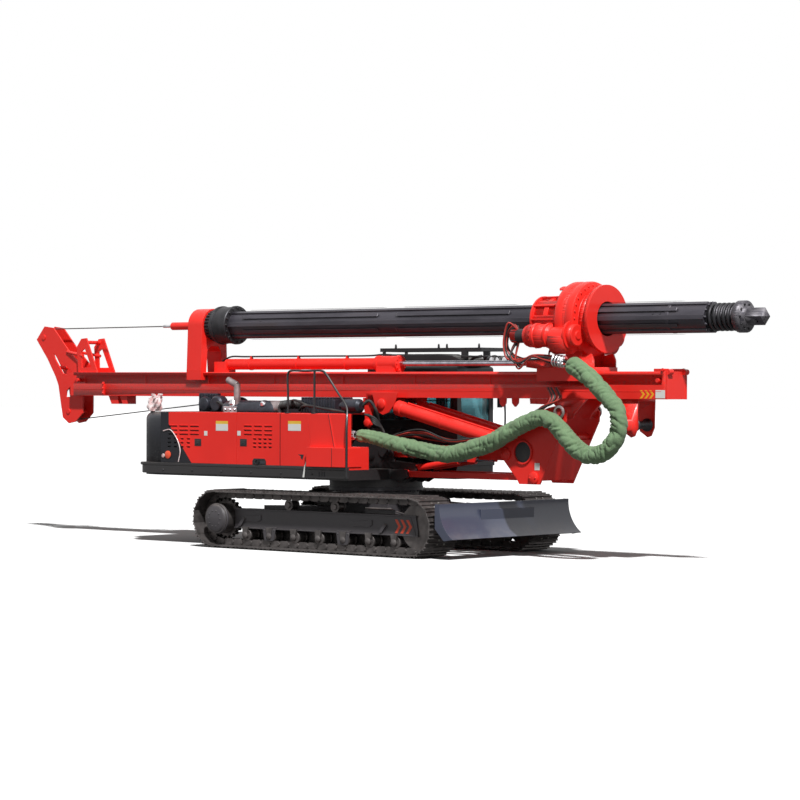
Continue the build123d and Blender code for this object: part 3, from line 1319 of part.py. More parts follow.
# Kelly guide: inverted V frame that slides on the mast, with the swivel behind it
NECK_RADIUS = 180.0
with BuildPart() as kelly_guide:
    foot_z = MAST_TOP + SEAT
    with BuildSketch(station(GUIDE_X[0])) as frame:
        with BuildLine():
            Polyline(
                (-290, foot_z),
                (-175, foot_z),
                (-150, 2950),
                (-90, 3030),
                (90, 3030),
                (150, 2950),
                (175, foot_z),
                (290, foot_z),
                (262, KELLY_Z),
                (-262, KELLY_Z),
                close=True,
            )
        make_face()
        with Locations((0, KELLY_Z)):
            Circle(262)
            Circle(NECK_RADIUS + PIN_GAP, mode=Mode.SUBTRACT)
    extrude(frame.sketch, amount=GUIDE_X[1] - GUIDE_X[0])
    for hand in (-1, 1):
        cheek_y = sorted((hand * (MAST_HALF + SIDE_GAP), hand * 290))
        block(GUIDE_X, cheek_y, (2500, foot_z + 40))
        hook_y = sorted((hand * (WEB_HALF + 20), hand * 280))
        block(GUIDE_X, hook_y, (2500, MAST_TOP - FLANGE_THICKNESS - SIDE_GAP))
    bar((GUIDE_X[0] - 30, 0, KELLY_Z), (GUIDE_X[0] + 1, 0, KELLY_Z), 220)
    bar((-4325, 0, KELLY_Z), (GUIDE_X[0] - 20, 0, KELLY_Z), 62)
kelly_guide.part.label = "kelly_guide"
export_step(kelly_guide.part, "parts/kelly_guide.step")

# Kelly bar: keyed outer tube, flange and bearing neck
with BuildPart() as kelly_bar:
    bar((GUIDE_X[0] + 2, 0, KELLY_Z), (GUIDE_X[1] + 10, 0, KELLY_Z), NECK_RADIUS)
    bar((GUIDE_X[1] + SIDE_GAP, 0, KELLY_Z), (-3240, 0, KELLY_Z), 222)
    bar((-3240, 0, KELLY_Z), (-2890, 0, KELLY_Z), 280)
    bar((-2895, 0, KELLY_Z), (KELLY_TUBE_END, 0, KELLY_Z), KELLY_RADIUS)
    with BuildSketch(station(-2895)) as keys:
        with Locations((0, KELLY_Z)):
            with PolarLocations(KELLY_RADIUS, 6):
                Rectangle(2 * KEY_HEIGHT, 60)
    extrude(keys.sketch, amount=KELLY_TUBE_END + 2895)
kelly_bar.part.label = "kelly_bar"
export_step(kelly_bar.part, "parts/kelly_bar.step")

# Lower end: spring seat, buffer spring, plate and square stub with its pin hole
SPRING_TURNS = 5
PIN_HOLE_X = 6800.0
with BuildPart() as kelly_stub:
    bar((KELLY_TUBE_END, 0, KELLY_Z), (6430, 0, KELLY_Z), 120)
    for turn in range(SPRING_TURNS):
        x = KELLY_TUBE_END + 20 + turn * 72
        bar((x, 0, KELLY_Z), (x + 40, 0, KELLY_Z), 165)
    bar((6410, 0, KELLY_Z), (6560, 0, KELLY_Z), 215)
    bar((6555, 0, KELLY_Z), (6610, 0, KELLY_Z), 140)
    with BuildSketch(station(6600)) as square:
        with Locations((0, KELLY_Z)):
            Rectangle(SQUARE_SIDE, SQUARE_SIDE, rotation=45)
    extrude(square.sketch, amount=KELLY_TIP_X - 6600)
    bar((PIN_HOLE_X, -150, KELLY_Z - 150), (PIN_HOLE_X, 150, KELLY_Z + 150), 35, Mode.SUBTRACT)
kelly_stub.part.label = "kelly_stub"
export_step(kelly_stub.part, "parts/kelly_stub.step")
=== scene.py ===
import math

import bmesh
import bpy
import numpy as np
from bpy.props import FloatProperty, FloatVectorProperty, IntProperty, PointerProperty
from mathutils import Matrix, Vector


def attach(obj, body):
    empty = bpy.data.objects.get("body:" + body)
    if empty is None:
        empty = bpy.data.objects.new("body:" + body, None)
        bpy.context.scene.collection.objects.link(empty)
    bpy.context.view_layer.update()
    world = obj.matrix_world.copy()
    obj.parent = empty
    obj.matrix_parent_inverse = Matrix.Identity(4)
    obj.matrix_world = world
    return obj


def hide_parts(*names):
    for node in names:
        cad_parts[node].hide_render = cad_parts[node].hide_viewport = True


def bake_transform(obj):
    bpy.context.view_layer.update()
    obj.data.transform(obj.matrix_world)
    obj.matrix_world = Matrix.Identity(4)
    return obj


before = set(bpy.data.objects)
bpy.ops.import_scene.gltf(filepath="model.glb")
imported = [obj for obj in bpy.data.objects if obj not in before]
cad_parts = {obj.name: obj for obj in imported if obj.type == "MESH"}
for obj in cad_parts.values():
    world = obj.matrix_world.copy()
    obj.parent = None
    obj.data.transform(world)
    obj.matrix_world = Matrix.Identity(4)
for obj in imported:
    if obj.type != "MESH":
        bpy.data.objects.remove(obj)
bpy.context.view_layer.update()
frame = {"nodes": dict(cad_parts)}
NODES = frame["nodes"]

bl_info = {
    "name": "Piling Rig Looks",
    "version": (1, 0, 0),
    "blender": (4, 5, 0),
    "location": "3D View > Sidebar > Rig",
    "description": "Dresses the tracked rotary piling rig with its finishes and small parts",
    "category": "Object",
}

# The slewing axis stands a little in front of the origin, and places below count from it.
SLEW = np.array([0.25, 0.0, 0.0])
UP = np.array([0.0, 0.0, 1.0])
FORWARD, BACK, LEFT, RIGHT = (1, 0, 0), (-1, 0, 0), (0, 1, 0), (0, -1, 0)

# Corners nearer than WELD are one, and edges shorter than SLIVER are dropped
WELD, SLIVER = 2e-5, 1e-6
# Sampling of a hose along its path, and its sides
HOSE_STEP, HOSE_SIDES = 0.03, 10

# Outer faces and heights of the engine house
SHEET, DOOR_FACE = 1.277, 1.283
HOUSE_LOW, HOUSE_HIGH = 1.243, 2.006
# The line on the engine covers behind which the paint is dark: upright above, slanted below. The
# shader reads places from the frame's origin, so this one counts from there.
SPLIT_X, SPLIT_TOP, SPLIT_SLOPE = -3.089 + float(SLEW[0]), 1.83, 0.845

# Mast: end in front, sides and underside of its box
MAST_END, MAST_SIDE, MAST_LOW = 5.46, 0.2325, 2.2445
# Middles along the machine and up: sprocket and idler, and heights of the rollers
HUB_X, HUB_Z, ROLLER_Z, CARRIER_Z = 1.92, 0.433, 0.1975, 0.6655
# Feeding motors of the rotary head, and the mouth of the sleeve beside them
MOTOR_Y, MOTOR_Z, MOUTH_Y = 0.47, 3.12, -0.55
# Boom linkage: the deltoid's hole and the mast's pivot, and the mast rams from pin to pin
HOLE_X, HOLE_Z, PIVOT_X, PIVOT_Z = 3.107, 1.492, 3.77, 2.06
RAM_LOW_X, RAM_LOW_Z, RAM_HIGH_X, RAM_HIGH_Z, RAM_Y = 3.08, 1.52, 0.42, 2.15, 0.245
# Bend of a rope on its sheave, and its own radius
ROPE_BEND, ROPE_RADIUS = 0.139, 0.009


def cells(rows, columns, close_rows=False, close_columns=False):
    """Faces of a grid of points: cell (i, j) joins rows i and i+1 with columns j and j+1."""
    i, j = np.meshgrid(
        np.arange(rows - (not close_rows)), np.arange(columns - (not close_columns)), indexing="ij"
    )
    k, m = (i + 1) % rows, (j + 1) % columns
    corners = [i * columns + j, k * columns + j, k * columns + m, i * columns + m]
    return np.stack(corners, -1).reshape(-1, 4)


def basis(direction):
    """Two unit vectors square to a direction."""
    w = np.asarray(direction, float) / np.linalg.norm(direction)
    u = np.cross(w, UP if abs(w[2]) < 0.9 else [1.0, 0.0, 0.0])
    u /= np.linalg.norm(u)
    return w, u, np.cross(w, u)


def smooth_path(points, step):
    """A centripetal Catmull-Rom curve through the points, sampled about every step."""
    p = np.asarray(points, float)
    p = np.vstack([2 * p[0] - p[1], p, 2 * p[-1] - p[-2]])
    t = np.concatenate([[0], np.cumsum(np.sqrt(np.linalg.norm(np.diff(p, axis=0), axis=1)))])
    parts = []
    for k in range(1, len(p) - 2):
        n = max(2, int(np.linalg.norm(p[k + 1] - p[k]) / step))
        s = np.linspace(t[k], t[k + 1], n, endpoint=False)[:, None]
        a = [
            (t[i + 1] - s) / (t[i + 1] - t[i]) * p[i] + (s - t[i]) / (t[i + 1] - t[i]) * p[i + 1]
            for i in (k - 1, k, k + 1)
        ]
        b = [
            (t[i + 2] - s) / (t[i + 2] - t[i]) * a[j] + (s - t[i]) / (t[i + 2] - t[i]) * a[j + 1]
            for j, i in ((0, k - 1), (1, k))
        ]
        parts.append((t[k + 1] - s) / (t[k + 1] - t[k]) * b[0] + (s - t[k]) / (t[k + 1] - t[k]) * b[1])
    return np.vstack(parts + [p[-2:-1]])


def carried(path):
    """Frames along a path that turn as little as they can: tangents, then two sides."""
    tangent = np.gradient(path, axis=0)
    tangent /= np.linalg.norm(tangent, axis=1)[:, None]
    sides = [basis(tangent[0])[1]]
    for t in tangent[1:]:
        u = sides[-1] - t * (sides[-1] @ t)
        sides.append(u / np.linalg.norm(u))
    sides = np.array(sides)
    return tangent, sides, np.cross(tangent, sides)


class Shape:
    """Points and faces gathered into one mesh, in metres from the slewing axis."""

    def __init__(self):
        self.points, self.faces, self.slots, self.total = [], [], [], 0

    def add(self, points, faces, slot=0):
        """Adds points (n, 3) and faces, whose numbers count from the first of these points."""
        points = np.asarray(points, float).reshape(-1, 3)
        shifted = [(np.asarray(f) + self.total).tolist() for f in faces]
        rows = [r for f in shifted for r in (f if isinstance(f[0], list) else [f])]
        self.points.append(points)
        self.faces += rows
        self.slots += [slot] * len(rows)
        self.total += len(points)
        return self

    def prism(self, outline, axis, low, high, slot=0):
        """A flat outline carried straight along an axis, from low to high, with both ends closed."""
        outline = np.asarray(outline, float)
        n, a = len(outline), "xyz".index(axis)
        points = np.zeros((2, n, 3))
        points[:, :, [i for i in range(3) if i != a]] = outline
        points[0, :, a], points[1, :, a] = low, high
        around = cells(2, n, close_columns=True)
        return self.add(points, [around, np.arange(n), np.arange(n) + n], slot)

    def box(self, x, y, z, slot=0):
        """A block between pairs of limits."""
        return self.prism([(x[0], y[0]), (x[1], y[0]), (x[1], y[1]), (x[0], y[1])], "z", z[0], z[1], slot)

    def pierced(self, x, z, holes, y):
        """A flat wall from y[0] to y[1], on a grid of its holes' edges. Cells inside a hole are left
        out, and strips between the two sheets close every edge where a cell ends."""
        xs = np.unique([*x, *[side for hole in holes for side in hole[:2]]])
        zs = np.unique([*z, *[side for hole in holes for side in hole[2:]]])
        mx, mz = (xs[1:, None] + xs[:-1, None]) / 2, (zs[None, 1:] + zs[None, :-1]) / 2
        kept = np.zeros((len(xs) + 1, len(zs) + 1), bool)
        kept[1:-1, 1:-1] = True
        for x0, x1, z0, z1 in holes:
            kept[1:-1, 1:-1] &= ~((mx > x0) & (mx < x1) & (mz > z0) & (mz < z1))
        gx, gz = (grid.ravel() for grid in np.meshgrid(xs, zs, indexing="ij"))
        points = np.concatenate([np.stack([gx, np.full(len(gx), at), gz], 1) for at in y])
        sheet = cells(len(xs), len(zs))[kept[1:-1, 1:-1].ravel()]
        index = np.arange(len(gx)).reshape(len(xs), len(zs))
        faces = [sheet, sheet + len(gx)]
        upright, level = kept[:-1, 1:-1] != kept[1:, 1:-1], kept[1:-1, :-1] != kept[1:-1, 1:]
        for first, second in (
            (index[:, :-1][upright], index[:, 1:][upright]), (index[:-1][level], index[1:][level])
        ):
            faces.append(np.stack([first, second, second + len(gx), first + len(gx)], 1))
        return self.add(points, faces)

    def turned(self, profile, base, direction, sides=32, slot=0, closed=False):
        """A profile of (distance, radius) turned about a line from base along a direction. Closed, its
        last point joins its first, and otherwise it gets flat ends."""
        w, u, v = basis(direction)
        s, r = np.asarray(profile, float).T
        angle = np.linspace(0, 2 * np.pi, sides, endpoint=False)
        ring = np.cos(angle)[:, None] * u + np.sin(angle)[:, None] * v
        points = np.asarray(base) + s[:, None, None] * w + r[:, None, None] * ring
        n = len(s)
        ends = [] if closed else [np.arange(sides), np.arange(sides) + (n - 1) * sides]
        return self.add(points, [cells(n, sides, close_rows=closed, close_columns=True)] + ends, slot)

    def rod(self, start, end, radius, sides=16):
        """A round bar between two points."""
        run = np.subtract(end, start)
        return self.turned([(0, radius), (np.linalg.norm(run), radius)], start, run, sides)

    def tube(self, path, radius, sides=12, slot=0):
        """A circle carried along a path. The radius may change along it and round it."""
        path = np.asarray(path, float)
        _, u, v = carried(path)
        angle = np.linspace(0, 2 * np.pi, sides, endpoint=False)
        radius = np.broadcast_to(np.asarray(radius, float), (len(path), sides))[:, :, None]
        ring = np.cos(angle)[None, :, None] * u[:, None] + np.sin(angle)[None, :, None] * v[:, None]
        points = path[:, None] + radius * ring
        n = len(path)
        ends = [np.arange(sides), np.arange(sides) + (n - 1) * sides]
        return self.add(points, [cells(n, sides, close_columns=True)] + ends, slot)

    def hose(self, points, radius, slot=0):
        """A hose on a smooth curve through a few points."""
        return self.tube(smooth_path(points, HOSE_STEP), radius, HOSE_SIDES, slot)

    def bolts(self, centres, direction, radius, height, slot=0, washer=True):
        """Hexagon heads standing on each centre, with a washer under each."""
        for centre in centres:
            if washer:
                self.turned([(0, radius * 1.35), (height * 0.25, radius * 1.35)], centre, direction, 12, slot)
            self.turned(
                [(0, radius), (height * 0.88, radius), (height, radius * 0.86)], centre, direction, 6, slot
            )
        return self

    def stamp(self, other, matrices):
        """Copies of another shape, one for each 4 by 4 matrix."""
        points = np.vstack(other.points)
        for matrix in matrices:
            placed = points @ matrix[:3, :3].T + matrix[:3, 3]
            base = self.total
            self.points.append(placed)
            self.faces += [[i + base for i in face] for face in other.faces]
            self.slots += other.slots
            self.total += len(points)
        return self

    def mirrored(self):
        """Adds the same shape again on the machine's other side."""
        return self.stamp(self.copy(), [np.diag([1.0, -1.0, 1.0, 1.0])])

    def copy(self):
        """The same points and faces in a new shape."""
        twin = Shape()
        twin.points, twin.faces = list(self.points), list(self.faces)
        twin.slots, twin.total = list(self.slots), self.total
        return twin

    def piece(self, name, body, *finishes, bevel=0.0, angle=35, slot=None):
        """Makes the mesh object, closes its seams, turns its faces outwards and gives it to a body."""
        mesh = bpy.data.meshes.new(name)
        mesh.from_pydata((np.vstack(self.points) + SLEW).tolist(), [], self.faces)
        mesh.polygons.foreach_set("material_index", np.array(self.slots, np.int32))
        made = finished(mesh, name, finishes, angle, outwards=True)
        if bevel:
            rounding = made.modifiers.new("Rounding", "BEVEL")
            rounding.width = bevel
            rounding.segments = 2
            rounding.limit_method = "ANGLE"
            rounding.angle_limit = math.radians(40)
            rounding.harden_normals = True
        if body:
            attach(made, body)
        return made


def finished(mesh, name, finishes, angle, outwards):
    """An object of a mesh: its seams closed, its faces outwards on demand, smooth up to an angle."""
    for finish in finishes:
        mesh.materials.append(FINISHES[finish])
    work = bmesh.new()
    work.from_mesh(mesh)
    bmesh.ops.remove_doubles(work, verts=work.verts, dist=WELD)
    bmesh.ops.dissolve_degenerate(work, edges=work.edges, dist=SLIVER)
    if outwards:
        bmesh.ops.recalc_face_normals(work, faces=work.faces)
    work.to_mesh(mesh)
    work.free()
    mesh.shade_smooth()
    mesh.set_sharp_from_angle(angle=math.radians(angle))
    made = bpy.data.objects.new(name, mesh)
    bpy.context.scene.collection.objects.link(made)
    return made


def corner_places(mesh):
    """The places of a mesh's corners, (n, 3)."""
    places = np.zeros(len(mesh.vertices) * 3)
    mesh.vertices.foreach_get("co", places)
    return places.reshape(-1, 3)


def ring_of(inner, outer, length):
    """The profile of a plain ring, for Shape.turned."""
    return [(0, inner), (0, outer), (length, outer), (length, inner)]


def both_ways(half, middle=0.0):
    """An outline from (distance, height) of its one half, and the same mirrored on a middle."""
    return [(middle - far, high) for far, high in half] + [(middle + far, high) for far, high in half[::-1]]


def chevron(x, low, high, thick, long):
    """The outline of an arrow that points forward from x."""
    middle = (low + high) / 2
    return [
        (x, high), (x + thick, high), (x + long, middle), (x + thick, low), (x, low),
        (x + long - thick, middle)
    ]


def turn_about(axis, angle):
    """A 4 by 4 matrix that turns by an angle about an axis."""
    return np.array(Matrix.Rotation(angle, 4, Vector(axis)))


def moved(x=0.0, y=0.0, z=0.0):
    """A 4 by 4 matrix that moves by (x, y, z)."""
    matrix = np.eye(4)
    matrix[:3, 3] = (x, y, z)
    return matrix


def circle_of(count, radius, x, y, z, turn=0.0):
    """Places evenly round a circle that faces along the machine."""
    angle = np.linspace(0, 2 * np.pi, count, endpoint=False) + turn
    return np.stack([np.full(count, x), y + radius * np.cos(angle), z + radius * np.sin(angle)], 1)


def round_the_bar(count, z, offset=0.0):
    """Matrices that set copies evenly round the kelly bar at height z."""
    return [moved(z=z) @ turn_about(FORWARD, (k + offset) * math.tau / count) for k in range(count)]


# Finishes by name, as the makers below fill it
FINISHES = {}


class Wire:
    """A shader socket on which Python's arithmetic adds Math nodes."""

    def __init__(self, finish, socket):
        self.finish, self.socket = finish, socket

    def math(self, operation, *values):
        return self.finish.node("ShaderNodeMath", {"operation": operation}, dict(enumerate(values)))

    def __add__(self, other):
        return self.math("ADD", self, other)

    def __sub__(self, other):
        return self.math("SUBTRACT", self, other)

    def __rsub__(self, other):
        return self.math("SUBTRACT", other, self)

    def __mul__(self, other):
        return self.math("MULTIPLY", self, other)

    __radd__, __rmul__ = __add__, __mul__

    def over(self, low, high):
        """0 below low, 1 above high and smooth between."""
        sockets = {"Value": self, "From Min": low, "From Max": high}
        return self.finish.node("ShaderNodeMapRange", {"interpolation_type": "SMOOTHSTEP"}, sockets)

    def sine(self):
        return self.math("SINE", self)

    def most(self, other):
        return self.math("MAXIMUM", self, other)


class Nodes:
    """The node tree of a material or world being built, emptied first."""

    def __init__(self, owner):
        owner.use_nodes = True
        self.tree = owner.node_tree
        self.tree.nodes.clear()

    def node(self, kind, settings=None, sockets=None, out=0):
        """Adds any node, settings first and sockets second, and gives one of its outputs."""
        made = self.tree.nodes.new(kind)
        for key, value in (settings or {}).items():
            setattr(made, key, value)
        for key, value in (sockets or {}).items():
            if isinstance(value, Wire):
                self.tree.links.new(value.socket, made.inputs[key])
            elif isinstance(value, tuple) and len(value) == 3 and made.inputs[key].type == "RGBA":
                made.inputs[key].default_value = (*value, 1)
            else:
                made.inputs[key].default_value = value
        return Wire(self, made.outputs[out]) if len(made.outputs) else None


class Finish(Nodes):
    """A material being built."""

    def __init__(self, name):
        FINISHES[name] = bpy.data.materials.new(name)
        super().__init__(FINISHES[name])
        self.place = self.node("ShaderNodeTexCoord", out="Object")

    def noise(self, scale, detail=3.0, stretch=None, rough=0.55):
        """Cloudy noise on the piece's own coordinates, stretched along chosen axes."""
        at = self.place
        if stretch:
            at = self.node("ShaderNodeMapping", None, {"Vector": at, "Scale": stretch})
        sockets = {"Vector": at, "Scale": scale, "Detail": detail, "Roughness": rough}
        return self.node("ShaderNodeTexNoise", None, sockets)

    def axis(self, which, out="Object"):
        """One coordinate of the piece, or with out="Normal" of its facing."""
        source = self.place if out == "Object" else self.node("ShaderNodeTexCoord", out=out)
        return self.node("ShaderNodeSeparateXYZ", None, {0: source}, out="XYZ".index(which))

    def mix(self, share, first, second):
        """Two colours mixed by a share."""
        sockets = {"Factor": share, "A": first, "B": second}
        made = self.tree.nodes.new("ShaderNodeMix")
        made.data_type = "RGBA"
        picks = {"Factor": made.inputs[0], "A": made.inputs[6], "B": made.inputs[7]}
        for key, value in sockets.items():
            if isinstance(value, Wire):
                self.tree.links.new(value.socket, picks[key])
            else:
                picks[key].default_value = (*value, 1) if isinstance(value, tuple) else value
        return Wire(self, made.outputs[2])

    def rounded(self, radius):
        """The facing that the surface would have with its edges rounded."""
        return self.node("ShaderNodeBevel", {"samples": 4}, {"Radius": radius})

    def edge(self, rounded):
        """1 on outer and inner edges and 0 on the flat: how far the rounded facing leans."""
        flat = self.node("ShaderNodeNewGeometry", out="True Normal")
        dot = self.node(
            "ShaderNodeVectorMath", {"operation": "DOT_PRODUCT"}, {0: rounded, 1: flat}, out="Value"
        )
        return 1 - dot.over(0.86, 0.995)

    def bump(self, height, distance, normal=None, strength=1.0):
        """A bumped facing on top of another."""
        sockets = {"Height": height, "Distance": distance, "Strength": strength}
        if normal:
            sockets["Normal"] = normal
        return self.node("ShaderNodeBump", None, sockets)

    def close(self, **sockets):
        """Ends the material in its shader. Underscores in names stand for spaces."""
        named = {key.replace("_", " "): value for key, value in sockets.items()}
        shader = self.node("ShaderNodeBsdfPrincipled", None, named)
        self.node("ShaderNodeOutputMaterial", None, {"Surface": shader})


def shade(colour, factor):
    """A colour made darker or lighter by a factor."""
    return tuple(min(1.0, channel * factor) for channel in colour)


def painted(
    name, colour, rough=0.3, dust=0.3, worn=0.35, coat=0.35, bare=(0.16, 0.13, 0.12), spec=0.5, behind=None
):
    """Sprayed enamel: slow drift of tone, dust on what looks up, rubbed edges, orange peel. Behind
    the slanted line on the engine covers it may have a second colour."""
    f = Finish(name)
    broad, grime, fine = f.noise(0.7, 3), f.noise(3.5, 8, rough=0.65), f.noise(46, 4)
    facing = f.axis("Z", "Normal")
    soft = f.rounded(0.006)
    rub = f.edge(soft) * fine.over(0.5, 0.62) * worn
    lying = facing.over(0.35, 0.97) * grime.over(0.38, 0.72) * dust
    runs = f.noise(5, 5, stretch=(3.0, 3.0, 0.25)).over(0.56, 0.78) * (dust * 0.35)
    tone = f.mix(broad.over(0.3, 0.7), shade(colour, 0.93), shade(colour, 1.05))
    if behind:
        line = SPLIT_X + (SPLIT_TOP - f.axis("Z")).most(0.0) * SPLIT_SLOPE
        tone = f.mix((f.axis("X") - line).over(-0.004, 0.004), behind, tone)
    tone = f.mix(lying, tone, (0.42, 0.36, 0.31))
    tone = f.mix(runs, tone, shade(colour, 0.55))
    tone = f.mix(rub, tone, bare)
    gloss = rough + fine * 0.06 + lying * 0.35 + runs * 0.2 + rub * 0.2
    peel = f.bump(f.noise(170, 2), 0.0004, soft, 0.35)
    f.close(
        Base_Color=tone, Roughness=gloss, Normal=peel, Coat_Weight=coat, Coat_Roughness=0.12,
        Specular_IOR_Level=spec
    )


def steel(name, colour, rough=0.4, metallic=0.85, rust=0.2, scratch=(1.0, 1.0, 1.0)):
    """Bare or blackened steel: mottled tone, rust freckles, drawn scratches and bright edges."""
    f = Finish(name)
    mottle, freckle = f.noise(7, 6), f.noise(38, 5, rough=0.7)
    drawn = f.noise(60, 3, stretch=scratch)
    soft = f.rounded(0.005)
    rub = f.edge(soft) * freckle.over(0.42, 0.6) * 0.5
    red = freckle.over(0.56, 0.7) * mottle.over(0.4, 0.65) * rust
    tone = f.mix(mottle.over(0.3, 0.7), shade(colour, 0.7), shade(colour, 1.25))
    tone = f.mix(red, tone, (0.16, 0.065, 0.03))
    tone = f.mix(rub, tone, shade(colour, 2.0))
    f.close(
        Base_Color=tone,
        Metallic=metallic - red * metallic,
        Roughness=rough + mottle * 0.16 + red * 0.3 - rub * 0.1,
        Normal=f.bump(drawn + freckle * 0.5, 0.0007, soft, 0.5),
    )


def make_finishes(paint):
    """Every finish of the machine, by name."""
    red = tuple(paint.red)
    painted("red_enamel", red, rough=0.36, dust=0.1, worn=0.3, coat=0.06, spec=0.3)
    painted(
        "cover_paint", red, rough=0.4, dust=0.06, worn=0.15, coat=0.06, spec=0.28,
        behind=shade(tuple(paint.slate), 0.6)
    )
    painted(
        "skirt_paint", (0.02, 0.018, 0.019), rough=0.45, dust=0.25, worn=0.3, coat=0.05,
        bare=(0.12, 0.12, 0.12)
    )
    painted(
        "slate_paint", tuple(paint.slate), rough=0.42, dust=0.35, worn=0.3, coat=0.1, bare=(0.2, 0.2, 0.2)
    )
    painted(
        "frame_paint", tuple(paint.frame), rough=0.45, dust=0.55, worn=0.5, coat=0.08, bare=(0.2, 0.18, 0.17)
    )
    painted(
        "black_paint", (0.012, 0.012, 0.014), rough=0.4, dust=0.25, worn=0.3, coat=0.1,
        bare=(0.12, 0.12, 0.12)
    )
    painted(
        "blade_paint", tuple(paint.blade), rough=0.34, dust=0.2, worn=0.5, coat=0.25, bare=(0.25, 0.24, 0.24)
    )
    painted("white_paint", (0.75, 0.75, 0.72), rough=0.4, dust=0.1, worn=0.1, coat=0.1)
    steel("track_steel", (0.125, 0.113, 0.11), rough=0.42, metallic=0.7, rust=0.35)
    steel("worn_steel", (0.42, 0.4, 0.38), rough=0.3, metallic=0.95, rust=0.15)
    steel("dark_steel", (0.035, 0.034, 0.038), rough=0.38, metallic=0.6, rust=0.12)
    steel("chrome", (0.42, 0.41, 0.46), rough=0.14, metallic=1.0, rust=0.0, scratch=(0.1, 1.0, 1.0))
    steel("silver", (0.62, 0.62, 0.64), rough=0.28, metallic=1.0, rust=0.02)
    steel("muffler_steel", (0.035, 0.038, 0.05), rough=0.3, metallic=0.5, rust=0.1)
    steel("exhaust_steel", (0.34, 0.29, 0.29), rough=0.36, metallic=0.8, rust=0.35)

    f = Finish("kelly_steel")
    band, fleck = f.noise(2.2, 7, stretch=(0.35, 1.6, 1.6), rough=0.6), f.noise(26, 6, stretch=(0.25, 1, 1))
    soft = f.rounded(0.006)
    rub = f.edge(soft) * fleck.over(0.35, 0.6) * 0.6
    rust = band.over(0.57, 0.72) * 0.4
    tone = f.mix(band.over(0.32, 0.66), (0.038, 0.035, 0.045), (0.08, 0.074, 0.09))
    tone = f.mix(rust, tone, (0.055, 0.036, 0.028))
    tone = f.mix(rub, tone, (0.2, 0.19, 0.2))
    f.close(
        Base_Color=tone,
        Metallic=0.45,
        Roughness=0.3 + fleck * 0.25,
        Normal=f.bump(fleck + band, 0.0012, soft, 0.5),
    )

    f = Finish("green_fabric")
    cloth = f.node("ShaderNodeUVMap")
    across, length = (f.node("ShaderNodeSeparateXYZ", None, {0: cloth}, out=k) for k in (0, 1))
    warp = (across * 420.0).sine() * 0.5 + 0.5
    weft = (length * 1300.0).sine() * 0.5 + 0.5
    cloud, soil = f.noise(2.5, 4), f.noise(11, 6, rough=0.7)
    tone = f.mix(cloud.over(0.3, 0.7), tuple(paint.fabric), shade(tuple(paint.fabric), 1.22))
    tone = f.mix(soil.over(0.5, 0.75) * 0.45, tone, (0.13, 0.14, 0.075))
    tone = f.mix(warp * weft * 0.18, tone, shade(tuple(paint.fabric), 0.6))
    rumple = f.noise(13, 4, rough=0.6)
    f.close(
        Base_Color=tone,
        Roughness=0.72 + soil * 0.15,
        Sheen_Weight=0.12,
        Sheen_Roughness=0.5,
        Normal=f.bump(warp + weft + rumple * 7.0, 0.0012, None, 0.7),
    )

    # Columns: hose finish, clean and dusty tone, roughness
    for name, clean, dusty, rough in (
        ("rubber", (0.012, 0.012, 0.013), (0.09, 0.08, 0.07), 0.5),
        ("red_hose", (0.42, 0.035, 0.025), (0.2, 0.05, 0.04), 0.42),
    ):
        f = Finish(name)
        fine, dust = f.noise(60, 4), f.noise(6, 5)
        tone = f.mix(dust.over(0.45, 0.75) * 0.5, clean, dusty)
        f.close(Base_Color=tone, Roughness=rough + fine * 0.2, Normal=f.bump(fine, 0.0006))

    f = Finish("wire_rope")
    twist = f.axis("X") * 190.0 + f.axis("Z") * 260.0 + f.axis("Y") * 260.0
    lay = twist.sine() * 0.5 + 0.5
    grease = f.noise(9, 5)
    tone = f.mix(lay, (0.02, 0.02, 0.02), (0.14, 0.135, 0.13))
    tone = f.mix(grease.over(0.5, 0.7) * 0.6, tone, (0.03, 0.022, 0.016))
    f.close(Base_Color=tone, Metallic=0.4, Roughness=0.42 + grease * 0.2, Normal=f.bump(lay, 0.003))

    f = Finish("glass")
    f.close(
        Base_Color=(0.28, 0.62, 0.68),
        Roughness=0.03 + f.noise(3, 4).over(0.5, 0.8) * 0.08,
        Transmission_Weight=0.82,
        IOR=1.45,
        Specular_IOR_Level=0.6,
    )

    f = Finish("lens")
    ribs = (f.axis("Z") * 700.0).sine() * 0.5 + 0.5
    f.close(
        Base_Color=(0.75, 0.76, 0.78), Roughness=0.12 + ribs * 0.1, Metallic=0.3, Normal=f.bump(ribs, 0.001)
    )

    # Columns: plain finish, scale of its drift, two tones, roughness
    for name, scale, first, second, rough in (
        ("chevron_red", 14, (0.9, 0.11, 0.045), (0.78, 0.075, 0.03), 0.4),
        ("chevron_yellow", 14, (0.92, 0.42, 0.015), (0.8, 0.33, 0.01), 0.38),
        ("yellow_paint", 9, (0.85, 0.56, 0.06), (0.72, 0.42, 0.04), 0.42),
    ):
        f = Finish(name)
        f.close(Base_Color=f.mix(f.noise(scale, 5), first, second), Roughness=rough)

    f = Finish("film")
    crumple = f.noise(16, 5, rough=0.65)
    f.close(
        Base_Color=f.mix(crumple.over(0.35, 0.65), (0.62, 0.36, 0.35), (0.86, 0.78, 0.77)),
        Roughness=0.22 + crumple * 0.3,
        Coat_Weight=0.3,
        Normal=f.bump(crumple, 0.012),
    )

    f = Finish("vinyl")
    grain = f.noise(120, 3)
    f.close(
        Base_Color=f.mix(f.noise(3, 4), (0.02, 0.02, 0.022), (0.045, 0.045, 0.05)),
        Roughness=0.5 + grain * 0.15,
        Normal=f.bump(grain, 0.0008, f.rounded(0.01)),
    )

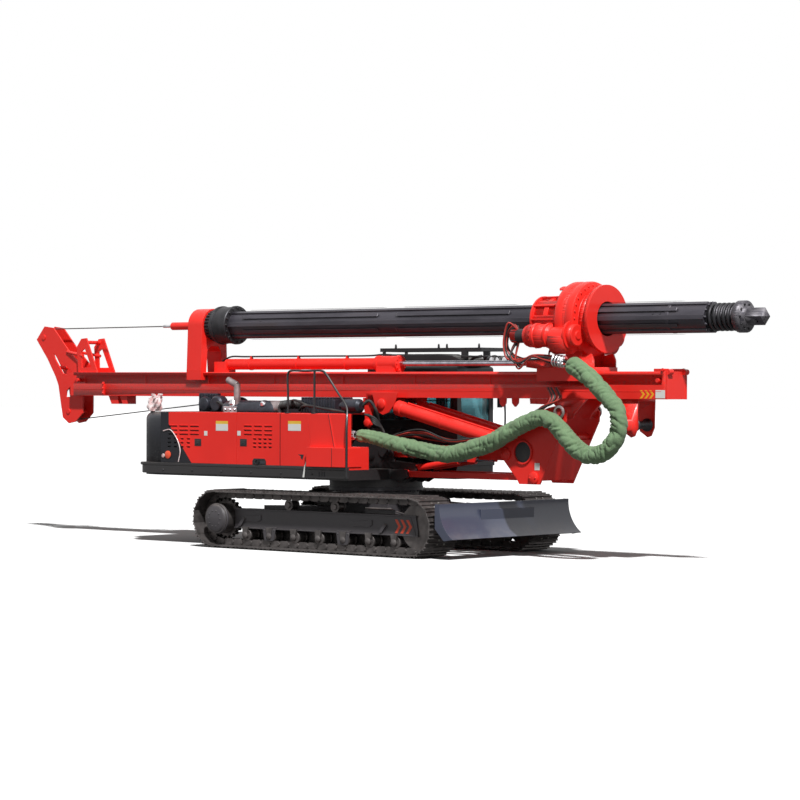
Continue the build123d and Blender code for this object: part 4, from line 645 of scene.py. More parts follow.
    f = Finish("screen_mesh")
    weave = ((f.axis("X") * 520.0).sine() + (f.axis("Z") * 520.0).sine()) * 0.25 + 0.5
    f.close(
        Base_Color=f.mix(weave, (0.006, 0.006, 0.007), (0.04, 0.04, 0.042)),
        Roughness=0.5 + weave * 0.2,
        Metallic=0.4,
        Normal=f.bump(weave, 0.002),
    )


# Columns: finish, CAD nodes that wear it
WORN_BY = (
    (
        "red_enamel",
        "boom deltoid lower_link mast mast_brackets mast_foot mast_head crowd_barrel mast_barrels"
    ),
    ("red_enamel", "luffing_barrels sled gearbox kelly_guide output_disc right_rear_door right_front_door"),
    ("red_enamel", "left_rear_door left_front_door front_tank head_motors"), ("cover_paint", "top_panels"),
    ("slate_paint", "counterweight"), ("frame_paint", "carbody"), ("skirt_paint", "deck"),
    ("black_paint", "cab_shell cab_door roof_guard handrails engine blade_barrels"),
    ("blade_paint", "dozer_blade"), ("track_steel", "left_track right_track track_wheels rollers"),
    ("dark_steel", "winch_drum foot_drum upper_sheave lower_sheave"),
    ("chrome", "crowd_rod mast_rods luffing_rods blade_rods"), ("exhaust_steel", "exhaust"),
    ("kelly_steel", "kelly_bar kelly_stub"), ("glass", "cab_glass door_glass"), ("vinyl", "operator_seat"),
)


def dress_nodes():
    """Gives each CAD node its finish."""
    for finish, names in WORN_BY:
        for name in names.split():
            mesh = NODES[name].data
            mesh.materials.clear()
            mesh.materials.append(FINISHES[finish])


def track_place(distance, half, radius):
    """Where a shoe stands on the loop of two straights and two half circles, and its tilt."""
    straight, bend = 2 * half, math.pi * radius
    d = distance % (2 * straight + 2 * bend)
    if d < straight:
        return (d - half, -radius, math.pi)
    d -= straight
    if d < bend:
        a = d / radius - math.pi / 2
        return (half + radius * math.cos(a), radius * math.sin(a), a - math.pi / 2)
    d -= bend
    if d < straight:
        return (half - d, radius, 0.0)
    a = (d - straight) / radius + math.pi / 2
    return (-half + radius * math.cos(a), radius * math.sin(a), a - math.pi / 2)


def one_shoe(pitch, width, grouser):
    """A shoe with three grousers, curled edges and four bolts, over its pair of links and their pin."""
    shoe = Shape()
    ribs = [(-0.40, 1.0), (0.0, 0.92), (0.40, 0.92)]
    top = [(-0.5, -0.007), (-0.48, 0.0)]
    for centre, share in ribs:
        high = grouser * share
        top += [(centre - 0.062, 0.0), (centre - 0.036, high * 0.55), (centre - 0.024, high)]
        top += [(centre + 0.024, high), (centre + 0.036, high * 0.55), (centre + 0.062, 0.0)]
    top += [(0.5, -0.002), (0.505, -0.012)]
    outline = [(x * pitch, z) for x, z in top] + [(0.47 * pitch, -0.016), (-0.485 * pitch, -0.016)]
    shoe.prism(outline, "y", -width / 2, width / 2)
    link = [(-0.54, -0.05), (-0.42, -0.022), (0.3, -0.016), (0.5, -0.03), (0.56, -0.062)]
    link += [(0.46, -0.09), (0.3, -0.108), (-0.3, -0.108), (-0.42, -0.096), (-0.52, -0.084)]
    for hand in (-1, 1):
        middle = hand * 0.074
        shoe.prism([(x * pitch, z) for x, z in link], "y", middle - 0.015, middle + 0.015)
        shoe.rod((0.5 * pitch, hand * 0.086, -0.062), (0.5 * pitch, hand * 0.1, -0.062), 0.021, 10)
    shoe.rod((-0.5 * pitch, -0.06, -0.062), (-0.5 * pitch, 0.06, -0.062), 0.029, 10)
    spots = [(x * pitch, y, 0) for x in (-0.2, 0.2) for y in (-0.074, 0.074)]
    return shoe.bolts(spots, UP, 0.015, 0.014, 1, washer=False)


def build_tracks(sizes):
    """Both tracks: the shoe is stamped round the loop at its pitch."""
    half, radius = sizes.centres / 2, sizes.height / 2 - sizes.grouser
    pitch = (4 * half + 2 * math.pi * radius) / sizes.shoes
    shoe = one_shoe(pitch, sizes.shoe_width, sizes.grouser)
    for name, y in (("left_track_shoes", sizes.gauge / 2), ("right_track_shoes", -sizes.gauge / 2)):
        stands = []
        for k in range(sizes.shoes):
            x, z, tilt = track_place((k + 0.5) * pitch, half, radius)
            stands.append(moved(x, y, z + sizes.height / 2) @ turn_about(LEFT, -tilt))
        loop = Shape().stamp(shoe, stands)
        made = loop.piece(name, "undercarriage", "track_steel", "worn_steel", slot="track_steel")
        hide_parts(name.replace("_shoes", ""))


def build_running_gear(sizes):
    """Hub covers with their bolts, wheels with their guards, frame plates and chevrons, slewing ring."""
    y0 = sizes.gauge / 2
    hub = Shape()
    cover = [
        (0, 0.232), (0.022, 0.232), (0.028, 0.224), (0.06, 0.2), (0.07, 0.186), (0.078, 0.17), (0.08, 0.0)
    ]
    hub.turned(cover, (-HUB_X, -y0 - 0.216, HUB_Z), RIGHT, 48)
    # Columns: bolts in a ring, its radius, place outwards, size and height of a head
    for count, radius, out, size, high in ((18, 0.209, 0.242, 0.011, 0.014), (10, 0.12, 0.294, 0.009, 0.01)):
        _, along, up = circle_of(count, radius, 0, 0, 0).T
        hub.bolts(np.stack([along - HUB_X, np.full(count, -y0 - out), up + HUB_Z], 1), RIGHT, size, high)
    hub.mirrored().piece("hub_covers", "undercarriage", "frame_paint")

    wheels = Shape()
    rim = both_ways([(0.1, 0.0), (0.1, 0.05), (0.094, 0.09), (0.074, 0.094), (0.07, 0.079)])
    cap = [(0, 0.05), (0.03, 0.05), (0.042, 0.036), (0.046, 0)]
    for k in range(7):
        x = -1.44 + 0.49 * k
        wheels.turned(rim, (x, -y0, ROLLER_Z), RIGHT, 28).turned(cap, (x, -y0 - 0.1, ROLLER_Z), RIGHT, 20)
        foot = both_ways([(0.062, 0.32), (0.04, 0.185), (0.02, 0.152)], x)
        wheels.prism(foot, "y", -y0 - 0.131, -y0 - 0.1)
        wheels.prism(foot, "y", -y0 + 0.1, -y0 + 0.131)
    wheels.box((-1.62, 1.62), (-y0 + 0.133, -y0 + 0.145), (0.125, 0.33))
    rim = both_ways([(0.075, 0), (0.075, 0.082), (0.062, 0.082), (0.058, 0.066)])
    for x in (-0.599, 0.319):
        wheels.turned(rim, (x, -y0, CARRIER_Z), RIGHT, 24)
        wheels.turned([(0, 0.046), (0.02, 0.04), (0.024, 0)], (x, -y0 - 0.075, CARRIER_Z), RIGHT, 18)
    idler = both_ways([(0.07, 0), (0.07, 0.33), (0.045, 0.345), (0.04, 0.3)])
    wheels.turned(idler, (HUB_X, -y0, HUB_Z), RIGHT, 48)
    wheels.mirrored().piece("roller_rims", "undercarriage", "track_steel")

    marks = Shape()
    out = -y0 - 0.0875
    body = [(-1.66, 0.31), (-1.66, 0.57), (-1.62, 0.578), (1.78, 0.578), (1.88, 0.33), (1.88, 0.31)]
    marks.prism(body, "y", out - 0.004, out, 0)
    marks.box((-1.7, 1.9), (out - 0.022, out), (0.572, 0.59), 0)
    marks.box((-1.69, 1.93), (out - 0.018, out), (0.296, 0.31), 0)
    for x in (-1.34, 0.86):
        pocket = [(x - 0.21, 0.47), (x + 0.2, 0.5), (x + 0.2, 0.43), (x + 0.14, 0.4), (x - 0.17, 0.4)]
        marks.prism(pocket, "y", out - 0.016, out, 0)
    for x in (-1.6, 1.2):
        stay = [(x, 0.33), (x + 0.06, 0.33), (x + 0.15, 0.44), (x + 0.1, 0.46)]
        marks.prism(stay, "y", out - 0.034, out, 0)
    for x in (-0.95, 0.52):
        marks.bolts([(x + dx, out - 0.03, 0.285) for dx in (-0.1, 0.1)], RIGHT, 0.012, 0.012, 0)
        skid = both_ways([(0.13, 0.3), (0.1, 0.145), (0.07, 0.13)], x)
        marks.prism(skid, "y", out - 0.036, out - 0.028, 0)
    marks.mirrored()
    for k in range(3):
        arrow = chevron(1.49 + 0.105 * k, 0.332, 0.525, 0.05, 0.115)
        marks.prism(arrow, "y", out - 0.0062, out - 0.0042, 1)
    marks.piece("frame_plates", "undercarriage", "frame_paint", "chevron_red")

    ring = Shape()
    ring.turned(ring_of(0.6, 0.7, 0.055), (0, 0, 0.88), UP, 72)
    spots = np.linspace(0, 2 * np.pi, 40, endpoint=False)
    spots = np.stack([0.675 * np.cos(spots), 0.675 * np.sin(spots), np.full(40, 0.88)], 1)
    ring.bolts(spots, (0, 0, -1), 0.014, 0.02)
    ring.piece("slew_ring_bolts", "undercarriage", "dark_steel")


# Columns: forward, left and up, in metres along the middle of the sleeve
SLEEVE = (
    (0.40, -0.86, 1.695), (0.56, -0.82, 1.682), (0.80, -0.74, 1.632), (1.21, -0.62, 1.535),
    (1.515, -0.56, 1.472), (1.96, -0.55, 1.448), (2.326, -0.55, 1.53), (2.652, -0.55, 1.622),
    (2.938, -0.55, 1.745), (3.292, -0.56, 1.905), (3.55, -0.57, 1.972), (3.79, -0.57, 1.91),
    (4.023, -0.56, 1.702), (4.24, -0.55, 1.525), (4.48, -0.55, 1.47), (4.745, -0.55, 1.6),
    (4.895, -0.55, 1.83), (4.862, -0.55, 2.09), (4.65, -0.55, 2.31), (4.395, -0.55, 2.54),
    (4.05, -0.55, 2.735),
)
# Columns: node, place forward where it begins and ends, from body, to body, start and end of the bend
SLEEVE_PARTS = (
    ("sleeve_boom", 0.0, 1.85, "upper", "boom", (0.6, 0, 1.6), (1.6, 0, 1.5)),
    ("sleeve_deltoid", 1.85, 2.59, "boom", "deltoid", (1.95, 0, 1.5), (2.55, 0, 1.7)),
    ("sleeve_pivot", 2.59, 3.27, "deltoid", "mast", (2.7, 0, 1.75), (3.2, 0, 1.95)),
    ("sleeve_loop", 3.27, 9.0, "mast", "rotary_head", (3.78, 0, 1.92), (4.1, 0, 2.7)),
)


def fold_height(s, angle, bend, inner):
    """Gathered cloth: slanted pleats of three spacings whose phase wanders round the tube, sharp in
    their valleys and deeper on the inside of a bend."""
    rise = np.zeros(np.broadcast(s, angle).shape)
    # Columns: spacing, depth, slant, wander, phase
    table = (
        (0.19, 0.62, 0.9, 1.0, 0.3), (0.125, 0.5, -1.3, 1.3, 1.9), (0.078, 0.26, 1.9, 0.8, 4.1),
        (0.37, 0.45, 1.1, 1.5, 2.2)
    )
    for spacing, depth, slant, wander, phase in table:
        wave = 2.3 * s / spacing + phase + angle * 2
        turn = np.pi * s / spacing + slant * np.sin(angle + phase) + wander * np.sin(wave)
        share = 0.55 + 0.45 * np.sin(angle * 2 + s * 5.1 + phase)
        rise = rise - depth * (1 - np.abs(np.sin(turn))) ** 2.2 * share
    return rise * (0.75 + 0.9 * bend * inner)


def build_sleeve(sizes):
    """The green sleeve round the hoses: pleated cloth on its curve, in four lengths that meet."""
    path = smooth_path(SLEEVE, 0.0115)
    tangent, u, v = carried(path)
    s = np.concatenate([[0], np.cumsum(np.linalg.norm(np.diff(path, axis=0), axis=1))])
    sides = 56
    angle = np.linspace(0, 2 * np.pi, sides, endpoint=False)
    turning = np.gradient(tangent, s, axis=0)
    bend = np.clip(np.linalg.norm(turning, axis=1) / 2.6, 0, 1)
    toward = turning / np.maximum(np.linalg.norm(turning, axis=1), 1e-6)[:, None]
    ring = np.cos(angle)[None, :, None] * u[:, None] + np.sin(angle)[None, :, None] * v[:, None]
    inner = 0.5 + 0.5 * np.einsum("ijk,ik->ij", ring, toward)
    radius = sizes.radius * (1 + sizes.fold * fold_height(s[:, None], angle[None], bend[:, None], inner))
    lump = 0.035 * np.sin(s * 3.1 + 1)[:, None] + 0.03 * np.sin(s * 7.7)[:, None] * np.cos(angle + 1)[None]
    radius = radius * (1 + lump)
    ends = np.clip(np.minimum(s, s[-1] - s) / 0.05, 0, 1) ** 0.5
    slim = 0.7 + 0.3 * np.clip(s / 0.9, 0, 1)
    radius = radius * (slim * (0.62 + 0.38 * ends))[:, None]
    points = path[:, None] + radius[:, :, None] * ring
    cuts = [0] + [int(np.argmax(path[:, 0] > part[2])) for part in SLEEVE_PARTS[:-1]] + [len(path) - 1]
    for k, (name, _, _, first, last, start, end) in enumerate(SLEEVE_PARTS):
        rows = np.arange(cuts[k], cuts[k + 1] + 1)
        part = Shape().add(points[rows], [cells(len(rows), sides, close_columns=True)])
        if k == 0:
            part.add(points[rows[0]], [np.arange(sides)])
        if k == len(SLEEVE_PARTS) - 1:
            part.add(points[rows[-1]], [np.arange(sides)])
        made = part.piece(name + "_cloth", None, "green_fabric", angle=180)
        mesh = made.data
        co = corner_places(mesh) - SLEW
        nearest = np.argmin(((co[:, None, ::2] - path[None, rows][:, :, ::2]) ** 2).sum(-1), 1)
        around = np.einsum("ij,ij->i", co - path[rows][nearest], u[rows][nearest])
        loops = np.zeros(len(mesh.loops), np.int32)
        mesh.loops.foreach_get("vertex_index", loops)
        layer = mesh.uv_layers.new(name="Cloth")
        pairs = np.stack([around * 3.0, s[rows][nearest]], 1)[loops]
        layer.data.foreach_set("uv", pairs.astype(np.float32).ravel())
        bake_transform(made)
        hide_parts(name)
        wall = made.modifiers.new("Cloth", "SOLIDIFY")
        wall.thickness, wall.offset = 0.0025, -1.0


def build_mast_trim():
    """End plate, rest blocks, joint strips and pins of the mast, its marks, and the crowd cylinder's
    pipe and rings."""
    trim = Shape()
    trim.box((MAST_END - 0.012, MAST_END + 0.004), (-0.236, -0.2), (2.244, 2.625))
    trim.box((MAST_END - 0.215, MAST_END - 0.02), (-0.232, -0.15), (2.6232, 2.66))
    trim.turned([(0, 0.04), (0.09, 0.04)], (MAST_END + 0.012, -0.225, 2.615), LEFT, 20)
    trim.turned([(0, 0.022), (0.02, 0.022)], (MAST_END - 0.06, -0.232, 2.645), RIGHT, 12)
    trim.prism([(3.09, MAST_LOW), (3.1, 2.17), (3.44, 2.162), (3.5, MAST_LOW)], "y", -0.225, -0.185)
    for x in (3.12, 3.2):
        trim.bolts([(x, -0.225, 2.2)], RIGHT, 0.012, 0.014)
    for x in np.arange(-6.2, 5.2, 1.42):
        trim.box((x, x + 0.012), (-0.168, -0.1635), (2.44, 2.573))
    trim.box((-6.395, 5.37), (-MAST_SIDE - 0.004, -MAST_SIDE), (2.347, 2.353))
    trim.mirrored()
    for rear, front in ((-5.6, -5.38), (-5.34, -5.17)):
        trim.prism(
            [(rear, MAST_LOW), (rear + 0.07, 2.115), (front, 2.115), (front, MAST_LOW)], "y", -0.2, 0.0
        )
    trim.box((-5.7, -5.66), (-0.252, -0.232), (2.262, 2.47))
    for z in (2.29, 2.365, 2.44):
        trim.bolts([(-5.68, -0.252, z)], RIGHT, 0.014, 0.016)
    for x in (-6.32, 5.3):
        trim.turned([(0, 0.03), (0.47, 0.03)], (x, -0.235, 2.5), LEFT, 14)
    trim.piece("mast_trim", "mast", "red_enamel", bevel=0.003, slot="red_paint")

    marks = Shape()
    for hand in (-1, 1):
        for k in range(3):
            arrow = chevron(5.012 + 0.078 * k, 2.254, 2.367, 0.036, 0.085)
            marks.prism(arrow, "y", hand * 0.2332, hand * 0.2352, 0)
        marks.box((5.275, 5.435), sorted((hand * 0.2332, hand * 0.2356)), (2.258, 2.37), 1)
    marks.piece("mast_marks", "mast", "chevron_yellow", "white_paint")

    pipe = Shape()
    pipe.hose(
        [
            (-3.2, -0.02, 2.79), (-3.05, 0.0, 2.858), (-2.7, 0.0, 2.862), (-1.2, 0.0, 2.864),
            (-0.1, 0.0, 2.866), (0.12, 0.0, 2.88), (0.3, 0.0, 2.875)
        ], 0.013
    )
    for x in (-2.6, -1.6, -0.6):
        pipe.turned([(0, 0.093), (0.03, 0.093)], (x, 0, 2.745), FORWARD, 28, 1)
        pipe.box((x, x + 0.03), (-0.02, 0.02), (2.83, 2.87), 1)
    pipe.turned([(-0.04, 0.1), (-0.02, 0.122), (0.04, 0.122), (0.05, 0.1)], (0.06, 0, 2.745), FORWARD, 32, 1)
    pipe.turned([(-0.03, 0.1), (-0.02, 0.124), (0.03, 0.124), (0.04, 0.05)], (0.45, 0, 2.745), FORWARD, 32, 1)
    pipe.bolts(circle_of(10, 0.1, 0.485, 0, 2.745), FORWARD, 0.01, 0.012, 1)
    pipe.piece("crowd_pipe", "mast", "black_paint", "red_enamel")


def rope(x, z, first, last, end, count):
    """A rope that leaves a sheave at (x, z), on which it lies between two angles, for its end."""
    arc = np.linspace(math.radians(first), math.radians(last), 9)
    bent = np.stack([x + ROPE_BEND * np.cos(arc), np.zeros(9), z + ROPE_BEND * np.sin(arc)], 1)
    run = np.linspace(bent[-1], end, count)
    return Shape().tube(np.vstack([bent[:-1], run]), ROPE_RADIUS, 10)


def build_ropes():
    """Wire ropes: from the upper sheave to the swivel, from the lower one to the winch, and wound."""
    upper = rope(-7.25, 3.2, 150, 88, (-4.45, 0, 3.352), 90)
    upper.turned([(0, 0.011), (0.03, 0.024), (0.16, 0.024), (0.2, 0.012)], (-4.56, 0, 3.352), FORWARD, 14, 1)
    made = upper.piece("upper_rope", None, "wire_rope", "silver")
    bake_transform(made)
    rope(-6.64, 1.985, 190, 275, (-3.17, 0.0, 2.165), 60).piece("lower_rope", "mast", "wire_rope")
    wound = Shape()
    turns = np.linspace(0, 2 * np.pi * 21, 21 * 26)
    coil = np.stack(
        [-3.12 + 0.158 * np.cos(turns), np.linspace(-0.27, 0.27, len(turns)), 2.0 + 0.158 * np.sin(turns)], 1
    )
    wound.tube(coil, 0.0095, 7).piece("wound_rope", "winch_drum", "wire_rope")


def build_kelly(sizes):
    """Kelly bar trim: flange with bolts, toothed ring, key seams with holes, end collar and spring."""
    z = sizes.kelly_height
    trim = Shape()
    trim.turned(
        [
            (0, 0.2), (0, 0.296), (0.028, 0.3), (0.05, 0.3), (0.056, 0.285), (0.3, 0.285), (0.306, 0.3),
            (0.34, 0.3), (0.352, 0.29), (0.352, 0.2)
        ], (-3.24, 0, z), FORWARD, 56
    )
    trim.bolts(circle_of(16, 0.262, -2.886, 0, z), FORWARD, 0.014, 0.02)
    tooth = Shape().prism([(-0.03, 0.2), (-0.012, 0.246), (0.012, 0.246), (0.03, 0.2)], "x", -3.385, -3.26)
    trim.stamp(tooth, round_the_bar(28, z))
    trim.turned(ring_of(0.2, 0.24, 0.03), (-3.262, 0, z), FORWARD, 48)
    trim.piece("kelly_flange", "kelly", "dark_steel", bevel=0.003)

    seams, holes = Shape(), Shape()
    for start, end in ((-2.6, 0.2), (0.55, 2.7), (3.4, 5.6)):
        seam = [(start, 0.2235), (end, 0.2235), (end - 0.05, 0.2265), (start + 0.05, 0.2265)]
        seams.prism(seam, "y", -0.026, 0.026)
    for x in (5.2, 5.32, -2.2):
        holes.turned([(0.2, 0.012), (0.206, 0.009)], (x, 0.055, 0), UP, 12)
    bar = Shape().stamp(seams, round_the_bar(6, z)).stamp(holes, round_the_bar(6, z, 0.5))
    bar.bolts(circle_of(12, 0.19, 6.042, 0, z), FORWARD, 0.016, 0.03)
    bar.turned([(0, 0.205), (0.008, 0.214), (0.05, 0.214), (0.06, 0.205)], (5.4, 0, z), FORWARD, 48)
    bar.piece("kelly_seams", "kelly", "kelly_steel", bevel=0.002)

    spring = Shape()
    turns = np.linspace(0, 2 * np.pi * 5.3, 190)
    coil = np.stack([6.07 + 0.4 * turns / turns[-1], 0.168 * np.cos(turns), z + 0.168 * np.sin(turns)], 1)
    spring.tube(coil, 0.024, 12)
    spring.turned([(0, 0.12), (0, 0.18), (0.02, 0.184), (0.028, 0.12)], (6.04, 0, z), FORWARD, 40)
    spring.bolts(circle_of(10, 0.17, 6.598, 0, z), FORWARD, 0.013, 0.016)
    spring.piece("buffer_spring", "kelly", "dark_steel")


def build_rotary_head(sizes):
    """Gear case trim: bolted rims, cage of the collar, motor rings and cases, hoses with their ends."""
    z = sizes.kelly_height
    case = Shape()
    rim = [(0, 0.49), (0.006, 0.514), (0.03, 0.524), (0.1, 0.524), (0.13, 0.512), (0.14, 0.49)]
    for x in (3.745, 3.925):
        case.turned(rim, (x, 0, z), FORWARD, 72)
    spots = circle_of(30, 0.47, 4.066, 0, z)
    case.bolts(spots[spots[:, 2] > z - 0.2], FORWARD, 0.012, 0.014)
    for x in (3.17, 3.65):
        case.turned(ring_of(0.3, 0.335, 0.03), (x, 0, z), FORWARD, 56)
    rib = [(3.19, 0.31), (3.68, 0.31), (3.74, 0.38), (3.69, 0.4), (3.56, 0.344), (3.19, 0.338)]
    case.stamp(Shape().prism(rib, "y", -0.013, 0.013), round_the_bar(10, z, 0.5))
    case.bolts(circle_of(20, 0.352, 3.68, 0, z, 0.1), BACK, 0.011, 0.016)
    for hand in (-1, 1):
        y = hand * MOTOR_Y
        # Columns: profile, its place along the machine, its direction
        for profile, x, toward in (
            ([(-0.012, 0.13), (0, 0.178), (0.03, 0.178), (0.036, 0.165)], 3.66, BACK),
            ([(0, 0.165), (0.012, 0.176), (0.05, 0.176), (0.062, 0.163)], 3.46, BACK),
            ([(0, 0.163), (0.05, 0.148), (0.055, 0.11), (0.055, 0)], 3.31, BACK),
            (
                [(0, 0.15), (0.02, 0.15), (0.028, 0.14), (0.03, 0.06), (0.045, 0.055), (0.045, 0)], 4.098,
                FORWARD
            ),
        ):
            case.turned(profile, (x, y, MOTOR_Z), toward, 40)
        case.turned(ring_of(0.19, 0.198, 0.03), (4.0, y, MOTOR_Z), FORWARD, 48)
        case.bolts(circle_of(16, 0.166, 3.4, y, MOTOR_Z), BACK, 0.01, 0.018)
        case.bolts(circle_of(16, 0.13, 4.098, y, MOTOR_Z), FORWARD, 0.012, 0.014)
        case.prism(
            [(3.72, 2.66), (3.78, 2.95), (4.02, 3.0), (4.06, 2.66)], "y", y * 0.55 - 0.012, y * 0.55 + 0.012
        )
    case.turned(
        [(0, 0.055), (0.014, 0.055), (0.02, 0.04), (0.02, 0.0)], (3.7, -0.25, z + 0.42), (0, -0.5, 0.86), 6
    )
    case.piece("gear_case_trim", "rotary_head", "red_enamel", bevel=0.003, slot="red_paint")

    dark = Shape()
    for hand in (-1, 1):
        y = hand * MOTOR_Y
        dark.turned(
            [(0, 0.088), (0.05, 0.097), (0.2, 0.1), (0.26, 0.088), (0.3, 0.07), (0.31, 0)],
            (3.31, y, MOTOR_Z), BACK, 28
        )
        dark.box((2.995, 3.15), (y - 0.075, y + 0.075), (3.05, 3.19))
        dark.bolts(circle_of(8, 0.07, 2.992, y, MOTOR_Z), BACK, 0.011, 0.016)
        for dz in (-0.05, 0.06):
            dark.turned(
                [(0, 0.026), (0.05, 0.026), (0.06, 0.034), (0.09, 0.034)],
                (3.0, y - hand * 0.02, MOTOR_Z + dz), (0.1, hand * -0.25, 1 if dz > 0 else -1), 14
            )
    dark.piece("motor_cases", "rotary_head", "dark_steel", bevel=0.004)

    hoses = Shape()
    # From a motor to the mouth of the sleeve
    for k in range(7):
        a = k * math.tau / 7
        tail = (4.03, MOUTH_Y + 0.055 * math.cos(a), 2.735 + 0.055 * math.sin(a))
        lead = (3.66, -0.54 + 0.06 * math.cos(a), 2.80 + 0.045 * math.sin(a))
        low = 2.90 - 0.025 * k
        lane = -0.47 - 0.035 * (k % 4)
        hoses.hose(
            [
                (3.04 + 0.01 * k, -0.47, 3.06), (2.96 + 0.02 * k, lane, low), (3.14, lane, low - 0.09),
                (3.38, MOUTH_Y, 2.82 + 0.012 * (k % 3)), lead, tail
            ], 0.0125, k % 2
        )
    for k in range(4):
        lane = -0.42 - 0.05 * k
        hoses.hose(
            [
                (3.08, -0.47, 3.2), (3.03 - 0.015 * k, lane, 3.26 + 0.015 * k), (2.89 + 0.01 * k, lane, 3.18),
                (2.85 + 0.015 * k, lane, 2.98), (2.96, lane, 2.84 - 0.012 * k), (3.2, -0.53, 2.79),
                (3.7, MOUTH_Y, 2.79), (4.03, MOUTH_Y, 2.74 + 0.01 * k)
            ], 0.0125, (k + 1) % 2
        )
    for k in range(3):
        hoses.hose(
            [(3.02, 0.45 - 0.04 * k, 3.0), (2.94, 0.4, 2.88), (3.1, 0.34, 2.75), (3.4, 0.33, 2.72)], 0.0125,
            k % 2
        )
    ends = Shape()
    for k in range(7):
        a = k * math.tau / 7
        at = (3.88, MOUTH_Y + 0.058 * math.cos(a), 2.76 + 0.05 * math.sin(a))
        ends.turned([(0, 0.016), (0.03, 0.021), (0.09, 0.021), (0.1, 0.016)], at, (0.96, 0, -0.14), 12)
    for k in range(4):
        ends.turned(
            [(-0.012, 0.085), (0, 0.092), (0.012, 0.085)], (3.80 + 0.05 * k, MOUTH_Y, 2.775 - 0.008 * k),
            (0.96, 0, -0.14), 20
        )
    hoses.piece("head_hoses", "rotary_head", "red_hose", "rubber")
    ends.piece("hose_ferrules", "rotary_head", "silver")


# Columns: node, body, then for each axis the places of its solid and where they belong
RESHAPED = (
    (
        "mast", "mast",
        {"x": ((4.6, 5.43, 5.76), (4.6, 5.375, MAST_END)), "z": ((2.623, 2.659), (2.623, 2.6232))}
    ),
    ("mast_brackets", "mast", {"x": ((2.624, 2.734, 2.89), (2.485, 2.595, 2.89))}),
    (
        "gearbox", "rotary_head",
        {
            "x": (
                (2.914, 2.965, 3.135, 3.215, 3.4, 3.44, 3.56, 3.87, 4.0, 4.08),
                (3.17, 3.22, 3.39, 3.465, 3.65, 3.69, 3.74, 3.88, 4.01, 4.08)
            )
        }
    ),
    ("output_disc", "output", {"x": ((2.94, 4.0), (3.19, 4.0))}),
    (
        "head_motors", "rotary_head",
        {"x": ((2.8, 3.165, 3.56, 4.0, 4.15), (2.99, 3.3, 3.7, 4.01, 4.1)), "z": ((2.8, 3.3), (2.87, 3.37))}
    ),
    ("sled", "rotary_head", {"x": ((3.9, 4.56, 4.7), (3.9, 4.2, 4.24))}),
    ("counterweight", "upper", {"x": ((-3.65, -3.4, -3.2), (-3.89, -3.57, -3.2))}),
    (
        "roof_guard", "upper",
        {
            "x": ((-0.52, -0.4, 1.05, 1.11, 1.19), (-0.55, -0.45, 1.02, 1.07, 1.44)),
            "z": ((2.71, 2.86), (2.71, 2.985))
        }
    ),
    ("kelly_stub", "kelly", {"x": ((6.38, 6.41, 6.56, 6.93), (6.48, 6.49, 6.595, 6.89))}),
    ("foot_drum", "foot_drum", {"x": ((4.725, 4.995), (4.77, 4.95)), "z": ((1.755, 2.025), (1.8, 1.98))}),
    ("mast_foot", "mast", {"x": ((4.64, 4.86, 5.14), (4.64, 4.84, 4.96))}),
)
# Lugs under the mast that the photograph doesn't show are pressed flat against it. Columns: rear
# and front end of that stretch, and the height that nothing in it goes below
PRESSED = {"mast_brackets": (2.8, 3.3, 2.2447)}


def reshape_nodes():
    """Copies of nodes whose corners slide along an axis from listed places to others, and between
    two of those in proportion. Each copy stands for its node, whose finish it keeps."""
    for name, body, moves in RESHAPED:
        mesh = NODES[name].data.copy()
        mesh.name = name + "_shaped"
        co = corner_places(mesh) - SLEW
        if name in PRESSED:
            rear, front, level = PRESSED[name]
            under = (co[:, 0] > rear) & (co[:, 0] < front)
            co[under, 2] = np.maximum(co[under, 2], level)
        for axis, (now, wanted) in moves.items():
            a = "xyz".index(axis)
            co[:, a] += np.interp(co[:, a], now, np.subtract(wanted, now))
        mesh.vertices.foreach_set("co", (co + SLEW).ravel())
        made = finished(mesh, name + "_shaped", [], 32, outwards=False)
        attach(made, body)
        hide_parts(name)


# Columns: door, rear and front end, the latch's place along and up, and groups of slots as (rear
# end, pitch, length, count, height, rows up)
DOORS = (
    (
        "rear_door", -3.262, -1.644, -2.456, 1.557,
        (
            (-3.091, 0.2315, 0.188, 3, 0.033, (1.801, 1.74, 1.679)),
            (-3.108, 0.138, 0.065, 4, 0.037, (1.612, 1.551, 1.49))
        )
    ),
    (
        "front_door", -1.636, -0.753, -1.496, 1.568,
        (
            (-1.485, 0.2095, 0.157, 3, 0.033, (1.817, 1.756, 1.694)),
            (-1.296, 0.1057, 0.062, 4, 0.037, (1.629, 1.568, 1.511))
        )
    ),
)


def notice(shape, x, y, low, split, high):
    """A blank plate that is white below the split and of the second finish above it."""
    return shape.box(x, y, (low, split)).box(x, y, (split, high), 1)


